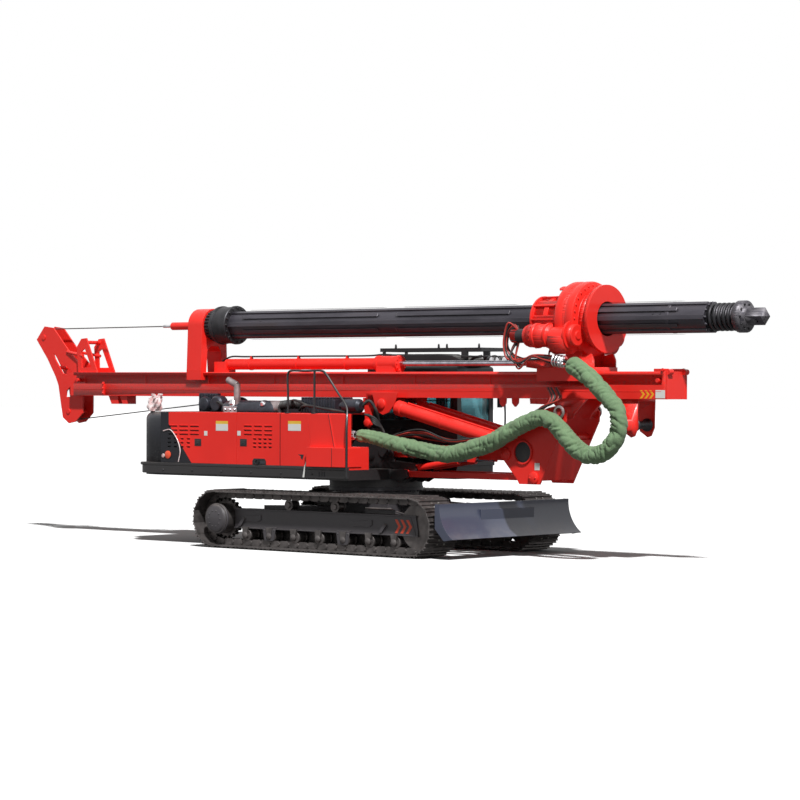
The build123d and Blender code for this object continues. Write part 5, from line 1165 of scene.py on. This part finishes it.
def build_covers():
    """The doors of the engine house as pressed sheets with slots, a dark screen behind, and latches."""
    for side, hand in (("right", -1), ("left", 1)):
        for door, rear, front, latch, tall, groups in DOORS:
            holes = [
                (x + k * pitch, x + k * pitch + long, z - high / 2, z + high / 2)
                for x, pitch, long, count, high, rows in groups for k in range(count) for z in rows
            ]
            out, back = hand * DOOR_FACE, hand * 1.2685
            sheet = Shape().pierced((rear, front), (HOUSE_LOW, HOUSE_HIGH), holes, (out, back))
            for x0, x1, _, z1 in holes:
                lip = [
                    (out, z1), (out + hand * 0.007, z1 - 0.004), (out + hand * 0.004, z1 - 0.014),
                    (out - hand * 0.01, z1 - 0.02), (out - hand * 0.01, z1)
                ]
                sheet.prism(lip, "x", x0, x1)
            made = sheet.piece(f"{side}_{door}_sheet", f"{side}_{door}", "cover_paint", slot="red_paint")
            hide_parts(f"{side}_{door}")
            rest = Shape().box(
                (rear + 0.02, front - 0.02), sorted((hand * 1.268, hand * 1.2595)), (1.26, 1.99)
            )
            shell, grip = sorted((out, out + hand * 0.004)), sorted((out + hand * 0.004, out + hand * 0.012))
            rest.box((latch - 0.07, latch + 0.07), shell, (tall - 0.055, tall + 0.055), 1)
            rest.box((latch - 0.045, latch + 0.045), grip, (tall - 0.035, tall + 0.03), 1)
            rest.turned(
                [(0, 0.012), (0.006, 0.012)], (latch, out + hand * 0.012, tall - 0.01), (0, hand, 0), 14, 2
            )
            rest.piece(
                f"{side}_{door}_fittings", f"{side}_{door}", "screen_mesh", "black_paint", "dark_steel",
                bevel=0.002
            )
    plate = (-1.2848, -1.2832)
    marks = notice(Shape(), (-2.075, -1.821), plate, 1.737, 1.839, 1.884)
    marks.box((-2.325, -2.255), plate, (1.66, 1.73))
    marks.piece("rear_door_plates", "right_rear_door", "white_paint", "yellow_paint")
    marks = Shape().box((-1.625, -1.555), plate, (1.67, 1.74))
    marks.piece("front_door_plate", "right_front_door", "white_paint")

    recess = Shape()
    low = HOUSE_LOW + 0.0005
    arch = [(-1.31, low), (-1.31, 1.3), (-1.28, 1.337), (-1.06, 1.337), (-1.03, 1.3), (-1.03, low)]
    recess.prism(arch, "y", -1.2845, -1.2835)
    recess.turned(
        [(0, 0.034), (0.012, 0.04), (0.012, 0.028), (-0.006, 0.028)], (-1.21, -1.288, 1.285), RIGHT, 20, 1
    )
    recess.box((-1.15, -1.05), (-1.288, -1.284), (1.26, 1.3), 2)
    recess.piece("door_recess", "right_front_door", "screen_mesh", "dark_steel", "slate_paint")


def build_house_trim():
    """Skirt with its lip, step box, tank cover, seams, plates, stripe, rails, rear lamp, beacon's bag."""
    turn = np.linspace(0, np.pi / 2, 9)
    for name, rear, low, high, out in (
        ("skirt", -3.815, 1.074, 1.196, 1.287), ("skirt_lip", -3.85, 1.196, 1.24, 1.291)
    ):
        corner = np.stack([rear + 0.25 * (1 - np.cos(turn)), -out + 0.25 * (1 - np.sin(turn))], 1)
        plan = np.vstack(
            [[(0.61, -out), (-3.5, -out)], corner[::-1], corner * [1, -1], [(-3.5, out), (-0.6, out)]]
        )
        inner = [(-0.6, 1.265), (-3.3, 1.265), (-3.3, -1.265), (0.61, -1.265)]
        Shape().prism(np.vstack([plan, inner]), "z", low, high).piece(
            name, "upper", "skirt_paint", bevel=0.006
        )

    trim = Shape()
    trim.box((-0.15, 0.602), (-1.36, -1.0), (1.243, 1.522))
    trim.box((0.36, 0.604), (-1.362, -0.995), (1.245, 1.518))
    trim.box((-0.745, 0.592), (-SHEET - 0.0005, -1.2585), (HOUSE_LOW, HOUSE_HIGH))
    crease = [(0.218, HOUSE_HIGH), (0.236, HOUSE_HIGH), (0.352, 1.524), (0.334, 1.524)]
    trim.prism(crease, "y", -SHEET - 0.0065, -SHEET)
    trim.prism(
        [(-0.2, HOUSE_HIGH), (-0.19, HOUSE_HIGH), (-0.14, 1.6), (-0.24, 1.26), (-0.25, 1.26), (-0.15, 1.6)],
        "y", -SHEET - 0.0025, -SHEET
    )
    trim.piece("tank_cover", "upper", "red_enamel", bevel=0.012, slot="red_paint")

    seams = Shape()
    seams.box((-0.7505, -0.7475), (-SHEET - 0.0065, -SHEET), (HOUSE_LOW, HOUSE_HIGH))
    seams.prism(
        [(0.213, 2.004), (0.219, 2.004), (0.335, 1.524), (0.329, 1.524)], "y", -SHEET - 0.0068, -SHEET
    )
    seams.box((0.352, 0.357), (-1.3635, -1.3), (1.25, 1.515))
    seams.prism(
        [(-0.39, 1.412), (-0.27, 1.412), (-0.3, 1.333), (-0.335, 1.36), (-0.335, 1.39)], "y", -SHEET - 0.0015,
        -SHEET
    )
    for k in range(3):
        seams.box((0.03 + 0.05 * k, 0.05 + 0.05 * k), (-1.292, -1.286), (1.1, 1.17))
    for x in np.arange(-3.2, 0.5, 0.62):
        seams.bolts([(x, -1.287, 1.13)], RIGHT, 0.012, 0.012)
    seams.piece("house_seams", "upper", "dark_steel")

    marks = notice(Shape(), (-0.589, -0.331), (-1.2792, -1.2778), 1.755, 1.855, 1.899)
    stripe = [
        (-0.118, 1.503), (-0.094, 1.503), (-0.221, 1.247), (-0.25, 1.08), (-0.282, 1.08), (-0.246, 1.247)
    ]
    marks.prism(stripe, "y", -1.296, -1.2875, 0)
    marks.piece("house_marks", "upper", "white_paint", "yellow_paint")

    lamp = Shape()
    lamp.turned([(0, 0.06), (0.012, 0.06), (0.018, 0.045), (0.02, 0)], (-3.1, -1.284, 1.36), RIGHT, 28, 0)
    lamp.turned([(0, 0.03), (0.012, 0.03), (0.014, 0)], (-3.2, -1.284, 1.345), RIGHT, 20, 1)
    lamp.hose(
        [
            (-3.2, -1.29, 1.72), (-3.05, -1.292, 1.74), (-2.9, -1.292, 1.6), (-2.83, -1.292, 1.42),
            (-2.87, -1.29, 1.26)
        ], 0.008, 1
    )
    lamp.piece("rear_lamp", "right_rear_door", "chevron_red", "film")

    rails = Shape()
    for y in (-1.216, 1.216):
        rails.hose(
            [
                (-0.648, y, 2.0), (-0.65, y, 2.3), (-0.65, y, 2.595), (-0.61, y, 2.628), (-0.3, y, 2.63),
                (0.03, y, 2.63), (0.09, y, 2.6), (0.32, y, 2.34), (0.55, y * 1.03, 2.1),
                (0.6, y * 1.07, 1.98), (0.636, y * 1.108, 1.82), (0.64, y * 1.112, 1.5),
                (0.64, y * 1.112, 1.1)
            ], 0.0165
        )
        rails.rod((-0.12, y, 2.0), (-0.12, y, 2.63), 0.0165)
        for x in (-0.648, -0.12):
            rails.rod((x, y, 2.01), (x, y, 2.02), 0.05)
    made = rails.piece("rails", "upper", "black_paint")
    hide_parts("handrails")

    t, a = np.meshgrid(np.linspace(0, 1, 24), np.linspace(0, 2 * np.pi, 30, endpoint=False), indexing="ij")
    wide = 0.05 + 0.05 * np.sin(
        np.pi * (0.25 + 0.75 * t)
    ) + 0.02 * np.sin(3 * a + 5 * t) + 0.014 * np.sin(7 * a - 9 * t)
    wide = wide * np.where(t > 0.9, 1.25, 1)
    bag = np.stack(
        [
            -3.585 + wide * np.cos(a) + 0.05 * t, -1.11 + wide * np.sin(a),
            2.02 + 0.24 * t + 0.03 * np.sin(2 * a + 1) * t
        ], -1
    )
    film = Shape().add(bag, [cells(24, 30, close_columns=True), np.arange(30), np.arange(30) + 23 * 30])
    film.piece("beacon_bag", "upper", "film", angle=50)


def build_engine_top():
    """What shows over the engine house: winch gear, cooler, filter, hoses, air pipe and silencer."""
    top = Shape()
    top.box((-3.29, -2.885), (-0.44, -0.365), (1.99, 2.296))
    for k in range(7):
        top.box((-3.28 + 0.058 * k, -3.26 + 0.058 * k), (-0.455, -0.44), (2.02, 2.28))
    top.turned([(0, 0.11), (0.05, 0.12), (0.1, 0.1), (0.12, 0)], (-3.1, -0.44, 2.13), RIGHT, 28)
    top.turned([(-0.1, 0.1), (-0.08, 0.13), (0.05, 0.13), (0.08, 0.1)], (-2.75, -0.55, 2.13), RIGHT, 28)
    top.box((-0.847, -0.18), (-0.72, -0.3), (2.0, 2.21))
    for k in range(12):
        x = -0.84 + 0.056 * k
        top.box((x, x + 0.018), (-0.735, -0.29), (2.02, 2.245))
    top.turned([(0, 0.06), (0.02, 0.105), (0.3, 0.105), (0.34, 0.06)], (0.02, -0.72, 2.12), FORWARD, 32)
    top.turned([(0, 0.05), (0.06, 0.05)], (-0.05, -0.72, 2.12), FORWARD, 20)
    top.box((-1.35, -0.95), (-0.62, -0.2), (1.99, 2.12))
    for k in range(5):
        top.box((-2.2 + 0.2 * k, -2.06 + 0.2 * k), (-0.45, -0.1), (2.0, 2.1 + 0.02 * (k % 2)))
    top.piece("engine_top", "upper", "muffler_steel", bevel=0.008)

    lines = Shape()
    steps = np.linspace(0, 1, 90)
    path = np.stack([-1.42 + 0.62 * steps, np.full(90, -0.62), 2.11 + 0.03 * np.sin(steps * 3)], 1)
    lines.tube(path, (0.062 + 0.008 * np.sin(steps * 150))[:, None], 16)
    lines.hose([(-2.86, -0.5, 2.05), (-2.7, -0.62, 2.16), (-2.5, -0.66, 2.1), (-2.3, -0.6, 2.03)], 0.022)
    lines.hose([(-0.95, -0.66, 2.05), (-0.7, -0.8, 2.12), (-0.3, -0.82, 2.08), (0.1, -0.8, 2.03)], 0.02)
    lines.hose([(-1.3, -0.5, 2.1), (-1.0, -0.72, 2.2), (-0.6, -0.78, 2.1)], 0.018)
    lines.hose([(0.34, -0.7, 2.12), (0.45, -0.66, 2.2), (0.52, -0.6, 2.08), (0.5, -0.5, 1.9)], 0.022)
    for k in range(4):
        lines.hose(
            [
                (0.36, -0.66 + 0.03 * k, 2.0), (0.5, -0.6, 1.95 - 0.03 * k), (0.56, -0.5, 1.8),
                (0.6, -0.45, 1.6)
            ], 0.016
        )
    lines.piece("engine_hoses", "upper", "rubber")

    bright = Shape()
    bright.box((-2.42, -2.14), (-0.78, -0.58), (2.0, 2.1))
    bright.turned([(0, 0.06), (0.04, 0.08), (0.1, 0.05)], (-2.28, -0.7, 2.1), UP, 20)
    bright.bolts([(-2.38, -0.78, 2.05), (-2.28, -0.78, 2.05), (-2.18, -0.78, 2.05)], RIGHT, 0.018, 0.02)
    bright.turned([(0, 0.03), (0.03, 0.045), (0.07, 0.02)], (-1.62, -0.72, 2.12), (0, -0.5, 0.5), 16)
    bright.piece("engine_bright", "upper", "silver", bevel=0.006)

    jacket = Shape()
    profile = [
        (0, 0.05), (0.03, 0.13), (0.08, 0.148), (0.5, 0.152), (0.95, 0.148), (1.08, 0.12), (1.15, 0.05)
    ]
    jacket.turned(profile, (-2.52, -0.615, 2.04), FORWARD, 44)
    for x in (-2.2, -1.72):
        jacket.turned(ring_of(0.15, 0.156, 0.03), (x, -0.615, 2.04), FORWARD, 44)
    jacket.piece("silencer_jacket", "upper", "muffler_steel")


def build_cab_trim():
    """Window seals and bars, roof hood with lamps, spikes on the guard, mirror and handles."""
    trim, door = Shape(), Shape()
    # Columns: seal, wall, outward side, window's rear, front, bottom and top
    panes = (
        (trim, 0.43, -1, -0.38, 0.33, 1.9, 2.59),
        (trim, 0.43, -1, 0.43, 1.09, 1.9, 2.59),
        (trim, 1.258, 1, -0.48, 0.13, 2.0, 2.59),
        (door, 1.258, 1, 0.306, 1.034, 1.9, 2.524),
    )
    for seal, y, out, x0, x1, z0, z1 in panes:
        thick = sorted((y, y + out * 0.012))
        for z in ((z0 - 0.02, z0 + 0.015), (z1 - 0.015, z1 + 0.02)):
            seal.box((x0 - 0.03, x1 + 0.03), thick, z)
        for x in ((x0 - 0.03, x0 + 0.01), (x1 - 0.01, x1 + 0.03)):
            seal.box(x, thick, (z0 - 0.02, z1 + 0.02))
    door.box((1.0, 1.06), (1.258, 1.285), (1.76, 1.795))
    door.piece("door_seals", "cab_door", "black_paint", bevel=0.003)
    for x in (0.0, 0.62, 0.86):
        trim.rod((x, 0.418, 1.9), (x, 0.418, 2.6), 0.008)
    for x0, x1, z in ((0.43, 1.09, 2.2), (-0.38, 0.33, 2.3)):
        trim.rod((x0, 0.418, z), (x1, 0.418, z), 0.008)
    hood = [
        (-0.48, 2.708), (-0.48, 2.84), (-0.42, 2.875), (0.7, 2.885), (0.95, 2.87), (1.12, 2.81), (1.2, 2.708)
    ]
    trim.prism(hood, "y", 0.6, 1.2)
    for k in range(6):
        x = -0.35 + 0.18 * k
        trim.box((x, x + 0.1), (0.65, 1.15), (2.87, 2.895))
    for y in (0.64, 0.95):
        trim.hose([(1.13, y, 2.68), (1.24, y, 2.76), (1.35, y, 2.83), (1.5, y, 2.86)], 0.02)
    trim.box((1.15, 1.6), (0.6, 1.2), (2.84, 2.866))
    for x, y in ((-0.25, 0.72), (0.6, 0.72), (0.76, 0.72), (1.38, 0.72)):
        trim.turned([(0, 0.02), (0.06, 0.014), (0.075, 0)], (x, y, 2.975), UP, 10)
    trim.hose(
        [(1.6, 0.66, 2.78), (1.66, 0.66, 2.85), (1.78, 0.66, 2.85), (1.84, 0.66, 2.78), (1.82, 0.66, 2.72)],
        0.012
    )
    trim.hose([(1.2, 1.26, 1.5), (1.32, 1.32, 1.55), (1.32, 1.34, 2.35), (1.24, 1.3, 2.42)], 0.014)
    trim.box((1.25, 1.33), (1.3, 1.33), (2.1, 2.38))
    trim.box((1.2, 1.24), (0.45, 1.26), (1.24, 1.42))
    trim.piece("cab_trim", "upper", "black_paint", bevel=0.004)
    lamps = Shape()
    for k, y in enumerate((0.66, 0.8, 0.95, 1.1)):
        lamps.turned([(0, 0.05), (0.02, 0.062), (0.07, 0.06)], (1.6, y, 2.8), (1, 0, -0.1), 20, 1)
        lamps.turned([(0.07, 0.056), (0.078, 0.03), (0.08, 0)], (1.6, y, 2.8), (1, 0, -0.1), 20, 0)
    lamps.piece("roof_lamps", "upper", "lens", "black_paint")


def build_boom_trim():
    """Barrels and ears of the mast rams, the deltoid's rings and plates, black discs of painted shade in its
    holes, hose bundles, rest link.
    """
    rams = Shape()
    run = np.array([RAM_HIGH_X - RAM_LOW_X, 0, RAM_HIGH_Z - RAM_LOW_Z])
    along = run / np.linalg.norm(run)
    barrel = [
        (0, 0.06), (0.01, 0.09), (0.05, 0.097), (2.28, 0.097), (2.295, 0.112), (2.4, 0.112), (2.415, 0.095)
    ]
    for y in (-RAM_Y, RAM_Y):
        base = np.array([RAM_LOW_X, y, RAM_LOW_Z]) + 0.1 * along
        rams.turned(barrel, base, run, 36)
        for at in (0.6, 1.5):
            rams.turned(ring_of(0.097, 0.103, 0.03), base + at * along, run, 36)
        rams.rod(base + 0.3 * along + [0, 0, 0.115], base + 2.2 * along + [0, 0, 0.115], 0.014)
    made = rams.piece("ram_barrels", "mast_barrels", "red_enamel", slot="red_paint")
    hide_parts("mast_barrels")

    ears = Shape()
    cheek = [
        (0.22, 2.325), (0.74, 2.325), (0.66, 2.14), (0.56, 2.03), (0.44, 1.99), (0.34, 2.04), (0.28, 2.16)
    ]
    for hand in (-1, 1):
        ears.prism(cheek, "y", *sorted((hand * 0.338, hand * 0.354)))
        ears.turned(
            [(0, 0.075), (0.02, 0.075), (0.03, 0.06), (0.034, 0)], (RAM_HIGH_X, hand * 0.354, RAM_HIGH_Z),
            (0, hand, 0), 28
        )
    ears.piece("ram_ears", "mast", "red_enamel", bevel=0.004, slot="red_paint")

    hole = Shape()
    for hand in (-1, 1):
        hole.turned(ring_of(0.148, 0.17, 0.012), (HOLE_X, hand * 0.401, HOLE_Z), (0, hand, 0), 48, 0, True)
        eye = [(0, 0.055), (0, 0.09), (0.02, 0.096), (0.026, 0.085), (0.026, 0.06)]
        hole.turned(eye, (PIVOT_X, hand * 0.41, PIVOT_Z), (0, hand, 0), 40, 1, True)
        for x, z in ((2.8, 1.46), (3.3, 1.136)):
            hole.turned(
                [(0, 0.085), (0.02, 0.085), (0.03, 0.07), (0.034, 0)], (x, hand * 0.39, z), (0, hand, 0), 32
            )
            hole.bolts([(x + 0.05, hand * 0.42, z), (x - 0.05, hand * 0.42, z)], (0, hand, 0), 0.012, 0.012)
    hole.piece("deltoid_rings", "deltoid", "red_enamel", "exhaust_steel")
    # The black discs in the deltoid's holes are painted shade: they stand for the shade inside each hole. A
    # white plate sits beside each hole.
    dark = Shape()
    for hand in (-1, 1):
        dark.turned(
            [(0, 0.147), (0.004, 0.147), (0.004, 0)], (HOLE_X, hand * 0.382, HOLE_Z), (0, hand, 0), 40, 0
        )
        dark.box((3.315, 3.405), sorted((hand * 0.3905, hand * 0.392)), (1.245, 1.345), 1)
    dark.piece("deltoid_hole_shade_and_plates", "deltoid", "rubber", "white_paint")

    hoses = Shape()
    for k in range(6):
        y, z = -0.2 - 0.035 * k, 1.62 + 0.022 * (k % 3)
        hoses.hose(
            [
                (0.5, y, z - 0.03), (0.8, y - 0.02, z + 0.06), (1.2, y, z + 0.02 + 0.02 * k),
                (1.7, y + 0.02, z - 0.02), (2.2, y, z + 0.01), (2.62, y, z + 0.02)
            ], 0.013, k % 2
        )
    for k in range(4):
        y = -0.3 - 0.03 * k
        hoses.hose(
            [
                (0.5, y, 1.55), (0.75, y - 0.04, 1.47), (1.0, y, 1.37 + 0.02 * k), (1.15, y + 0.04, 1.42),
                (1.3, y + 0.08, 1.52)
            ], 0.013, (k + 1) % 2
        )
    hoses.piece("boom_hoses", "boom", "red_hose", "rubber")

    bundle = Shape()
    for k in range(7):
        y = -0.43 - 0.012 * (k % 4)
        x = 3.42 + 0.035 * k
        bundle.hose(
            [
                (x - 0.35, y, 1.93 + 0.01 * k), (x - 0.1, y - 0.03, 2.02 + 0.02 * k),
                (x + 0.12, y - 0.02, 2.12 + 0.015 * k), (x + 0.18, y + 0.03, 2.26), (x + 0.06, y + 0.1, 2.4)
            ], 0.012, k % 2
        )
    bundle.piece("pivot_hoses", "mast", "red_hose", "rubber")

    ends = Shape()
    for k in range(7):
        a = k * math.tau / 7
        at = np.array([0.39, -0.87 + 0.045 * math.cos(a), 1.697 + 0.045 * math.sin(a)])
        ends.turned(
            [(0, 0.016), (0.02, 0.022), (0.08, 0.022), (0.1, 0.015)], at + [-0.1, -0.02, 0.002], (1, 0.15, 0),
            12, 0
        )
        ends.hose(
            [
                at + [-0.1, -0.02, 0], at + [-0.2, 0.02, 0.03 * math.sin(a)],
                at + [-0.26, 0.16, 0.05 * math.sin(a)]
            ], 0.014, 1 + k % 2
        )
    ends.piece("sleeve_start_hoses", "upper", "silver", "red_hose", "rubber")

    link = Shape()
    eye = [(-0.02, 2.24), (0.19, 2.24), (0.16, 2.0), (0.15, 1.84), (0.085, 1.79), (0.02, 1.84), (0.02, 2.0)]
    link.prism(eye, "y", -0.28, -0.245, 0)
    link.turned([(0, 0.055), (0.03, 0.06), (0.04, 0.045)], (0.085, -0.28, 1.87), RIGHT, 24, 0)
    link.piece("rest_link", "mast", "red_enamel", bevel=0.004)


# Width of the photograph in pixels, and of the camera's sensor in millimetres
PHOTO_WIDTH, SENSOR = 800, 36
# The fitted camera: angles in degrees, focal length in pixels, distances in metres
CAMERA = {
    "azimuth": 41.282, "pitch": 0.267, "roll": 0.181, "pixels": 2813.76, "right": 0.3583, "up": 2.2065,
    "away": 41.764
}


def camera_matrix():
    """The fitted camera: it looks back along its own axis from a point right, up and away."""
    az, el, roll = (math.radians(CAMERA[key]) for key in ("azimuth", "pitch", "roll"))
    back = np.array([math.sin(az) * math.cos(el), -math.cos(az) * math.cos(el), math.sin(el)])
    right = np.array([math.cos(az), math.sin(az), 0.0])
    up = np.cross(back, right)
    r = math.cos(roll) * right + math.sin(roll) * up
    u = -math.sin(roll) * right + math.cos(roll) * up
    place = CAMERA["right"] * r + CAMERA["up"] * u + CAMERA["away"] * back + SLEW
    return Matrix(
        (
            (r[0], u[0], back[0], place[0]), (r[1], u[1], back[1], place[1]), (r[2], u[2], back[2], place[2]),
            (0, 0, 0, 1)
        )
    )


def build_stage(light):
    """Pale floor that keeps the shadow, white surroundings, one soft sun and the camera."""
    scene = bpy.context.scene
    scene.view_settings.view_transform = "Standard"
    ground = Shape().box((-250, 250), (-250, 250), (-0.05, -0.001))
    floor = Finish("floor_finish")
    seen = floor.node("ShaderNodeLightPath", out="Is Camera Ray")
    near = floor.node("ShaderNodeBsdfDiffuse", None, {"Color": (0.93, 0.93, 0.93)})
    other = floor.node("ShaderNodeBsdfDiffuse", None, {"Color": (0.2, 0.2, 0.2)})
    both = floor.node("ShaderNodeMixShader", None, {0: seen, 1: other, 2: near})
    floor.node("ShaderNodeOutputMaterial", None, {"Surface": both})
    ground.piece("floor", None, "floor_finish")
    world = bpy.data.worlds.new("surroundings")
    scene.world = world
    sky = Nodes(world)
    # Rays for which the surroundings are white; the rest gets their weaker light
    direct, glossy, through = (
        sky.node("ShaderNodeLightPath", out=f"Is {kind} Ray") for kind in ("Camera", "Glossy", "Transmission")
    )
    white = direct.most(glossy).most(through)
    strength = sky.node("ShaderNodeMapRange", None, {"Value": white, "To Min": light.world, "To Max": 1.0})
    glow = sky.node("ShaderNodeBackground", None, {"Color": (1, 1, 1), "Strength": strength})
    sky.node("ShaderNodeOutputWorld", None, {"Surface": glow})
    lamp = bpy.data.lights.new("sun", "SUN")
    lamp.energy = light.sun
    lamp.angle = math.radians(3)
    sun = bpy.data.objects.new("sun", lamp)
    sun.rotation_euler = Vector(light.toward).to_track_quat("Z", "Y").to_euler()
    scene.collection.objects.link(sun)
    view = bpy.data.cameras.new("camera")
    view.sensor_width = SENSOR
    view.lens = CAMERA["pixels"] / PHOTO_WIDTH * SENSOR
    view.clip_end = 300
    camera = bpy.data.objects.new("camera", view)
    camera.matrix_world = camera_matrix()
    scene.collection.objects.link(camera)
    scene.camera = camera


def colour_property(name, description, value):
    """A colour that a user may change."""
    return FloatVectorProperty(
        name=name, description=description, subtype="COLOR", size=3, min=0, max=1, default=value
    )


def length_property(name, description, value):
    """A length that a user may change."""
    return FloatProperty(name=name, description=description, default=value, unit="LENGTH", min=0.001)


class RigPaint(bpy.types.PropertyGroup):
    """Colours of the machine."""

    red: colour_property("Red", "Enamel of the mast, covers and rotary head", (0.86, 0.028, 0.02))
    slate: colour_property("Slate", "Paint of the counterweight", (0.02, 0.021, 0.028))
    frame: colour_property("Frame", "Paint of the track frames", (0.055, 0.05, 0.055))
    blade: colour_property("Blade", "Paint of the dozer blade", (0.05, 0.058, 0.092))
    fabric: colour_property("Fabric", "Cloth of the hose sleeve", (0.145, 0.235, 0.12))


class RigTracks(bpy.types.PropertyGroup):
    """Sizes of the tracks."""

    centres: length_property("Centres", "Sprocket to idler", 3.84)
    height: length_property("Height", "Track height over the grousers", 0.866)
    gauge: length_property("Gauge", "Middle of one track to the other", 2.35)
    shoe_width: length_property("Shoe width", "Width of a shoe", 0.65)
    grouser: length_property("Grouser", "Height of a grouser", 0.024)
    shoes: IntProperty(name="Shoes", description="Shoes in one track", default=54, min=10)


class RigSleeve(bpy.types.PropertyGroup):
    """Sizes of the hose sleeve."""

    radius: length_property("Radius", "Radius of the sleeve", 0.128)
    fold: FloatProperty(
        name="Fold", description="Depth of the pleats as a share of the radius", default=0.4, min=0
    )


class RigHead(bpy.types.PropertyGroup):
    """Sizes of the kelly bar and its drive."""

    kelly_height: length_property("Kelly height", "Middle of the kelly bar above the ground", 3.352)


class RigLight(bpy.types.PropertyGroup):
    """Light of the stage."""

    sun: FloatProperty(name="Sun", description="Strength of the sun", default=4.7, min=0)
    world: FloatProperty(name="World", description="Strength of the surroundings", default=0.17, min=0)
    toward: FloatVectorProperty(
        name="Toward sun", description="Direction to the sun", size=3, default=(0.5, -0.38, 0.78)
    )


def operator_for(name, label, description, *jobs):
    """An operator that runs its jobs. Each comes with the settings that it reads, or with None."""

    def execute(self, context):
        for job, group in jobs:
            if group:
                job(getattr(context.scene, group))
            else:
                job()
        return {"FINISHED"}

    parts = {"__doc__": description, "bl_idname": "rig." + name, "bl_label": label, "execute": execute}
    return type("RIG_OT_" + name, (bpy.types.Operator,), parts)


class RIG_PT_panel(bpy.types.Panel):
    """Lists the steps that dress the rig"""

    bl_idname = "RIG_PT_panel"
    bl_label = "Piling rig"
    bl_space_type = "VIEW_3D"
    bl_region_type = "UI"
    bl_category = "Rig"

    def draw(self, context):
        for made in STEPS:
            self.layout.operator(made.bl_idname)


GROUPS = (
    ("rig_paint", RigPaint), ("rig_tracks", RigTracks), ("rig_sleeve", RigSleeve), ("rig_head", RigHead),
    ("rig_light", RigLight),
)
# In the order in which they run
STEPS = (
    operator_for(
        "finishes", "Finishes", "Make every finish and put it on the CAD nodes", (make_finishes, "rig_paint"),
        (dress_nodes, None)
    ),
    operator_for(
        "forms", "Corrected forms", "Stretch the nodes whose ends lie elsewhere on the real machine",
        (reshape_nodes, None)
    ),
    operator_for(
        "tracks", "Tracks", "Lay both tracks and dress the running gear", (build_tracks, "rig_tracks"),
        (build_running_gear, "rig_tracks")
    ),
    operator_for(
        "sleeve", "Hose sleeve", "Sew the pleated sleeve round the hoses", (build_sleeve, "rig_sleeve")
    ),
    operator_for(
        "house", "Engine house and cab",
        "Dress the engine house: doors, skirt, step, rails, engine top and cab", (build_covers, None),
        (build_house_trim, None), (build_engine_top, None), (build_cab_trim, None)
    ),
    operator_for(
        "boom", "Boom and rams", "Dress the boom, the deltoid and the rams, and lay their hoses",
        (build_boom_trim, None)
    ),
    operator_for(
        "mast", "Mast and ropes", "Dress the mast and reeve its ropes", (build_mast_trim, None),
        (build_ropes, None)
    ),
    operator_for(
        "kelly", "Kelly and rotary head", "Dress the kelly bar and the rotary head",
        (build_kelly, "rig_head"), (build_rotary_head, "rig_head")
    ),
    operator_for("stage", "Stage", "Set the floor, the light and the camera", (build_stage, "rig_light")),
)


def register():
    for name, group in GROUPS:
        bpy.utils.register_class(group)
        setattr(bpy.types.Scene, name, PointerProperty(type=group))
    for made in (*STEPS, RIG_PT_panel):
        bpy.utils.register_class(made)


def unregister():
    for made in (RIG_PT_panel, *reversed(STEPS)):
        bpy.utils.unregister_class(made)
    for name, group in reversed(GROUPS):
        delattr(bpy.types.Scene, name)
        bpy.utils.unregister_class(group)


def main():
    """Builds the whole look, step by step."""
    register()
    for made in STEPS:
        getattr(bpy.ops.rig, made.bl_idname.removeprefix("rig."))()


if __name__ == "__main__":
    main()
